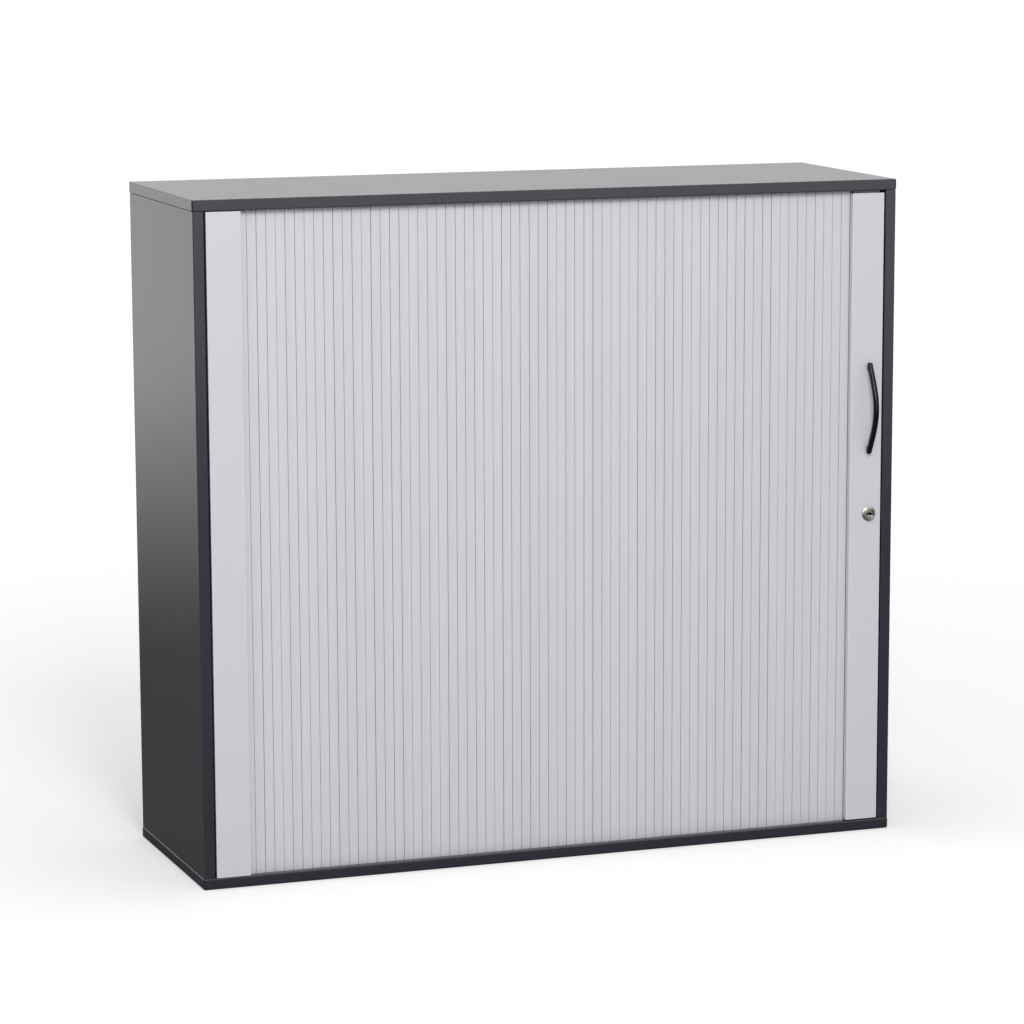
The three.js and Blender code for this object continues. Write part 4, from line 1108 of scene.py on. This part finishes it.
def build_pin(node):
    """A shelf pin: shank in the wood, collar against it and a nose under the shelf."""
    size = sizes()
    low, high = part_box(node)
    inward = 1 if node.endswith(("_a", "_b")) else -1
    shank_end = low.x if inward > 0 else high.x
    nose_end = high.x if inward > 0 else low.x
    collar_radius = (high.z - low.z) / 2
    collar_end = nose_end - inward * size.pin_nose_length
    collar = collar_end - inward * size.pin_collar
    soft = size.eased_edge
    outline = [
        (size.pin_shank - soft, shank_end),
        (size.pin_shank, shank_end + inward * soft),
        (size.pin_shank, collar),
        (collar_radius - soft / 2, collar),
        (collar_radius, collar + inward * soft / 2),
        (collar_radius, collar_end - inward * soft),
        (collar_radius - soft, collar_end),
        (size.pin_nose, collar_end),
        (size.pin_nose, nose_end - inward * soft),
        (size.pin_nose - soft, nose_end),
    ]
    form = turned(outline, (low + high) / 2, X, segments=32)
    finished(form, f"{node}_fine", node, ["zinc_plate"])


def build_fitting(node):
    """A cam fitting: the cast disc with its cross slot in the side board, and its bolt."""
    size = sizes()
    low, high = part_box(node)
    middle = (low + high) / 2
    above = node.endswith("_upper")
    into_wood = 1 if "_right_" in node else -1
    face = low.x if into_wood > 0 else high.x
    root = face + into_wood * size.fitting_depth
    radius = (high.y - low.y) / 2
    disc_z = low.z + radius if above else high.z - radius
    soft = size.eased_edge
    outline = [
        (radius - soft, face),
        (radius, face + into_wood * soft),
        (radius, root - into_wood * soft),
        (radius - soft, root),
    ]
    centre = (middle.x, middle.y, disc_z)
    form = turned(outline, centre, X, segments=48)
    disc = finished(form, f"{node}_disc", node, ["cast_zinc"], flat=False)
    arm, slot = size.fitting_cross, size.fitting_slot
    ends = (face - into_wood * soft, face + into_wood * size.fitting_recess)
    for reach_y, reach_z in ((arm, slot), (slot, arm)):
        corners = [
            (-reach_y, -reach_z), (reach_y, -reach_z), (reach_y, reach_z), (-reach_y, reach_z),
        ]
        cutter = loft([[(x, middle.y + y, disc_z + z) for y, z in corners] for x in ends])
        combine(disc, cutter, "DIFFERENCE")
    flatten_faces(disc)
    bolt_end = high.z if above else low.z
    side = 1 if above else -1
    bolt = size.fitting_bolt
    rooted_share = 0.8
    outline = [
        (bolt, disc_z + side * radius * rooted_share),
        (bolt, bolt_end - side * soft),
        (bolt - soft, bolt_end),
    ]
    form = turned(outline, centre, Z, segments=24)
    finished(form, f"{node}_bolt", node, ["zinc_plate"], flat=False)


def build_small_fittings():
    """Shelf pins and cam fittings."""
    for node in sorted(NODES):
        if "shelf_pin" in node:
            build_pin(node)
        elif node.startswith("cam_fitting"):
            build_fitting(node)


# Stage


FLOOR_HALF = 60
CARD_HALF = 12
CARD_HEIGHT = 0.4 * MM
SIDE_CARD_X = 3.2
SIDE_CARD_FRONT = -3.5
SIDE_CARD_REAR = 1.5
SIDE_CARD_TOP = 2.2
WHITE = (1, 1, 1, 1)


def sheet(name, corners, material):
    """A flat four-cornered sheet that belongs to the stage."""
    form = bmesh.new()
    form.faces.new([form.verts.new(corner) for corner in corners])
    made = object_of(form, name)
    made.data.materials.append(material)
    return made


def level_sheet(name, half, height, material):
    corners = [(-half, -half, height), (half, -half, height), (half, half, height)]
    return sheet(name, [*corners, (-half, half, height)], material)


def stage_material(name, draw):
    """A material of the stage, whose surface a function draws."""
    material = bpy.data.materials.new(name)
    material.use_nodes = True
    graph = Graph(material.node_tree)
    graph.node("ShaderNodeOutputMaterial", {"Surface": draw(graph)})
    return material


def seen_directly(graph):
    """1 for the camera's own rays and for what metal or glass shows."""
    path = graph.node("ShaderNodeLightPath").outputs
    mirrored = graph.math("MAXIMUM", path["Is Glossy Ray"], path["Is Transmission Ray"])
    return graph.math("MAXIMUM", path["Is Camera Ray"], mirrored)


def distance_from_foot(graph):
    """How far a place of the floor lies from the bottom board."""
    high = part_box("bottom_panel")[1]
    either_way = graph.vector("ABSOLUTE", graph.own_place())
    past = graph.vector("SUBTRACT", either_way, (high.x, high.y, 0))
    return graph.vector("LENGTH", graph.vector("MAXIMUM", past, (0, 0, 0)), result="Value")


def draw_floor(graph):
    """A pale floor that reads white where nothing shades it, and keeps the object's shadow."""
    levels = bpy.context.scene.cabinet_stage
    noise = graph.noise(graph.own_place(), scale=1.5)
    tone = graph.ramp(noise, NOISE_LOW, NOISE_HIGH, low_to=0.995, high_to=1.0)
    shade = graph.times(opaque(colours().floor), tone)
    matt = graph.node("ShaderNodeBsdfDiffuse", {"Color": shade}).outputs[0]
    away = distance_from_foot(graph)
    near = graph.ramp(away, 0, levels.near_reach, levels.foot_lift, levels.near_lift)
    rise = levels.far_lift - levels.near_lift
    far = graph.ramp(away, levels.near_reach, levels.far_reach, 0, rise)
    lift = graph.product(seen_directly(graph), graph.math("ADD", near, far))
    glow = graph.node("ShaderNodeEmission", {"Color": WHITE, "Strength": lift}).outputs[0]
    return graph.node("ShaderNodeAddShader", {0: matt, 1: glow}).outputs[0]


def draw_shade(graph):
    """Dark near the object and clear further out, for what its lower faces mirror."""
    levels = bpy.context.scene.cabinet_stage
    away = graph.vector("LENGTH", graph.own_place(), result="Value")
    clear = graph.ramp(away, levels.shade_near, levels.shade_far)
    dark = graph.node("ShaderNodeBsdfDiffuse", {"Color": opaque(colours().card)}).outputs[0]
    glass = graph.node("ShaderNodeBsdfTransparent").outputs[0]
    return graph.node("ShaderNodeMixShader", {0: clear, 1: dark, 2: glass}).outputs[0]


def draw_side_card(graph):
    """Plain dark paint."""
    tint = {"Color": opaque(colours().side_card)}
    return graph.node("ShaderNodeBsdfDiffuse", tint).outputs[0]


def only_mirrored(card):
    """Leaves a card of the stage to the mirror images alone."""
    card.visible_camera = False
    card.visible_diffuse = False
    card.visible_transmission = False
    card.visible_shadow = False


def build_cards():
    """The dark cards that the lower faces and the faces turned sideways mirror."""
    material = stage_material("shade_card", draw_shade)
    shade = level_sheet("shade_card", CARD_HALF, CARD_HEIGHT, material)
    shade.location.y = -bpy.context.scene.cabinet_stage.shade_shift
    only_mirrored(shade)
    material = stage_material("side_card", draw_side_card)
    front, rear, top = SIDE_CARD_FRONT, SIDE_CARD_REAR, SIDE_CARD_TOP
    for name, x in (("left_card", -SIDE_CARD_X), ("right_card", SIDE_CARD_X)):
        corners = [(x, front, 0), (x, rear, 0), (x, rear, top), (x, front, top)]
        only_mirrored(sheet(name, corners, material))


def build_soft_box(power):
    """The soft light above, in front and a little to the left."""
    place = Vector((-0.8, -4.2, 3.4))
    target = Vector((0, 0, 0.6))
    data = bpy.data.lights.new("front_soft_box", "AREA")
    data.shape = "RECTANGLE"
    data.size = 1.2
    data.size_y = 2.6
    data.energy = power
    lamp = link("front_soft_box", data)
    lamp.location = place
    lamp.rotation_euler = (target - place).to_track_quat("-Z", "Y").to_euler()


def build_world(fill):
    """White to the eye and in reflections, and a softer grey as light."""
    world = bpy.data.worlds.new("studio")
    world.use_nodes = True
    bpy.context.scene.world = world
    graph = Graph(world.node_tree)
    seen = graph.node("ShaderNodeBackground", {"Color": WHITE, "Strength": 1.0}).outputs[0]
    light = graph.node("ShaderNodeBackground", {"Color": WHITE, "Strength": fill}).outputs[0]
    mixed = graph.node("ShaderNodeMixShader", {0: seen_directly(graph), 1: light, 2: seen})
    graph.node("ShaderNodeOutputWorld", {"Surface": mixed.outputs[0]})


def build_camera():
    """The photograph's view: eye height 1.6 m, to the left of the front, with a long lens."""
    eye = Vector((-2.2489, -6.2703, 1.6283))
    target = Vector((0.0758, -0.195, 0.3946))
    roll = math.radians(0.031)
    data = bpy.data.cameras.new("photo_view")
    data.sensor_width = 36.0
    data.lens = 142.253
    data.shift_x = -0.0859
    data.shift_y = 0.1055
    camera = link("photo_view", data)
    turn = (target - eye).to_track_quat("-Z", "Y").to_matrix() @ Matrix.Rotation(roll, 3, "Z")
    camera.matrix_world = Matrix.Translation(eye) @ turn.to_4x4()
    bpy.context.scene.camera = camera


def build_stage():
    """Floor, the cards that the object mirrors, world, soft box and camera."""
    scene = bpy.context.scene
    scene.view_settings.view_transform = "Standard"
    build_camera()
    build_world(scene.cabinet_stage.fill)
    level_sheet("floor", FLOOR_HALF, 0, stage_material("studio_floor", draw_floor))
    build_cards()
    build_soft_box(scene.cabinet_stage.key)


# Operators, panel and registration


class CABINET_OT_finishes(bpy.types.Operator):
    """Build the shared effects and finishes"""

    bl_idname = "cabinet.finishes"
    bl_label = "Finishes"

    def execute(self, context):
        prepare_finishes()
        return {"FINISHED"}


class CABINET_OT_boards(bpy.types.Operator):
    """Build the boards of the carcass and the shelves"""

    bl_idname = "cabinet.boards"
    bl_label = "Boards and shelves"

    def execute(self, context):
        build_boards()
        return {"FINISHED"}


class CABINET_OT_curtain(bpy.types.Operator):
    """Build the slatted curtain and its bead"""

    bl_idname = "cabinet.curtain"
    bl_label = "Slatted curtain"

    def execute(self, context):
        build_curtain()
        return {"FINISHED"}


class CABINET_OT_panels(bpy.types.Operator):
    """Build the fixed panel and the pull panel with its caps"""

    bl_idname = "cabinet.panels"
    bl_label = "Front panels"

    def execute(self, context):
        build_panels()
        return {"FINISHED"}


class CABINET_OT_handle(bpy.types.Operator):
    """Build the bow handle and its screws"""

    bl_idname = "cabinet.handle"
    bl_label = "Bow handle"

    def execute(self, context):
        build_handle()
        return {"FINISHED"}


class CABINET_OT_lock(bpy.types.Operator):
    """Build the cylinder lock, its cam and the strike plate"""

    bl_idname = "cabinet.lock"
    bl_label = "Cylinder lock"

    def execute(self, context):
        build_lock()
        return {"FINISHED"}


class CABINET_OT_track(bpy.types.Operator):
    """Build the guide tracks, stops, clips and buffers"""

    bl_idname = "cabinet.track"
    bl_label = "Guide tracks"

    def execute(self, context):
        build_track()
        return {"FINISHED"}


class CABINET_OT_fittings(bpy.types.Operator):
    """Build the shelf pins and the cam fittings"""

    bl_idname = "cabinet.fittings"
    bl_label = "Pins and fittings"

    def execute(self, context):
        build_small_fittings()
        return {"FINISHED"}


class CABINET_OT_stage(bpy.types.Operator):
    """Build the floor, the light and the camera"""

    bl_idname = "cabinet.stage"
    bl_label = "Stage"

    def execute(self, context):
        build_stage()
        return {"FINISHED"}


OPERATORS = (
    CABINET_OT_finishes,
    CABINET_OT_boards,
    CABINET_OT_curtain,
    CABINET_OT_panels,
    CABINET_OT_handle,
    CABINET_OT_lock,
    CABINET_OT_track,
    CABINET_OT_fittings,
    CABINET_OT_stage,
)
GROUPS = {
    "cabinet_sizes": CabinetSizes,
    "cabinet_colours": CabinetColours,
    "cabinet_stage": CabinetStage,
}


class CABINET_PT_sidebar(bpy.types.Panel):
    """Lists the building steps and the values that they use."""

    bl_idname = "CABINET_PT_sidebar"
    bl_label = "Tambour Door Cabinet"
    bl_space_type = "VIEW_3D"
    bl_region_type = "UI"
    bl_category = "Cabinet"

    def draw(self, context):
        for operator in OPERATORS:
            self.layout.operator(operator.bl_idname)
        for group in GROUPS:
            values = getattr(context.scene, group)
            box = self.layout.box()
            for key in values.__annotations__:
                box.prop(values, key)


def register():
    for name, group in GROUPS.items():
        bpy.utils.register_class(group)
        setattr(bpy.types.Scene, name, PointerProperty(type=group))
    for shown in (*OPERATORS, CABINET_PT_sidebar):
        bpy.utils.register_class(shown)


def unregister():
    for shown in (CABINET_PT_sidebar, *reversed(OPERATORS)):
        bpy.utils.unregister_class(shown)
    for name, group in reversed(GROUPS.items()):
        delattr(bpy.types.Scene, name)
        bpy.utils.unregister_class(group)


def main():
    """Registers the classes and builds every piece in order."""
    register()
    bpy.ops.cabinet.finishes()
    bpy.ops.cabinet.boards()
    bpy.ops.cabinet.curtain()
    bpy.ops.cabinet.panels()
    bpy.ops.cabinet.handle()
    bpy.ops.cabinet.lock()
    bpy.ops.cabinet.track()
    bpy.ops.cabinet.fittings()
    bpy.ops.cabinet.stage()


if __name__ == "__main__":
    main()
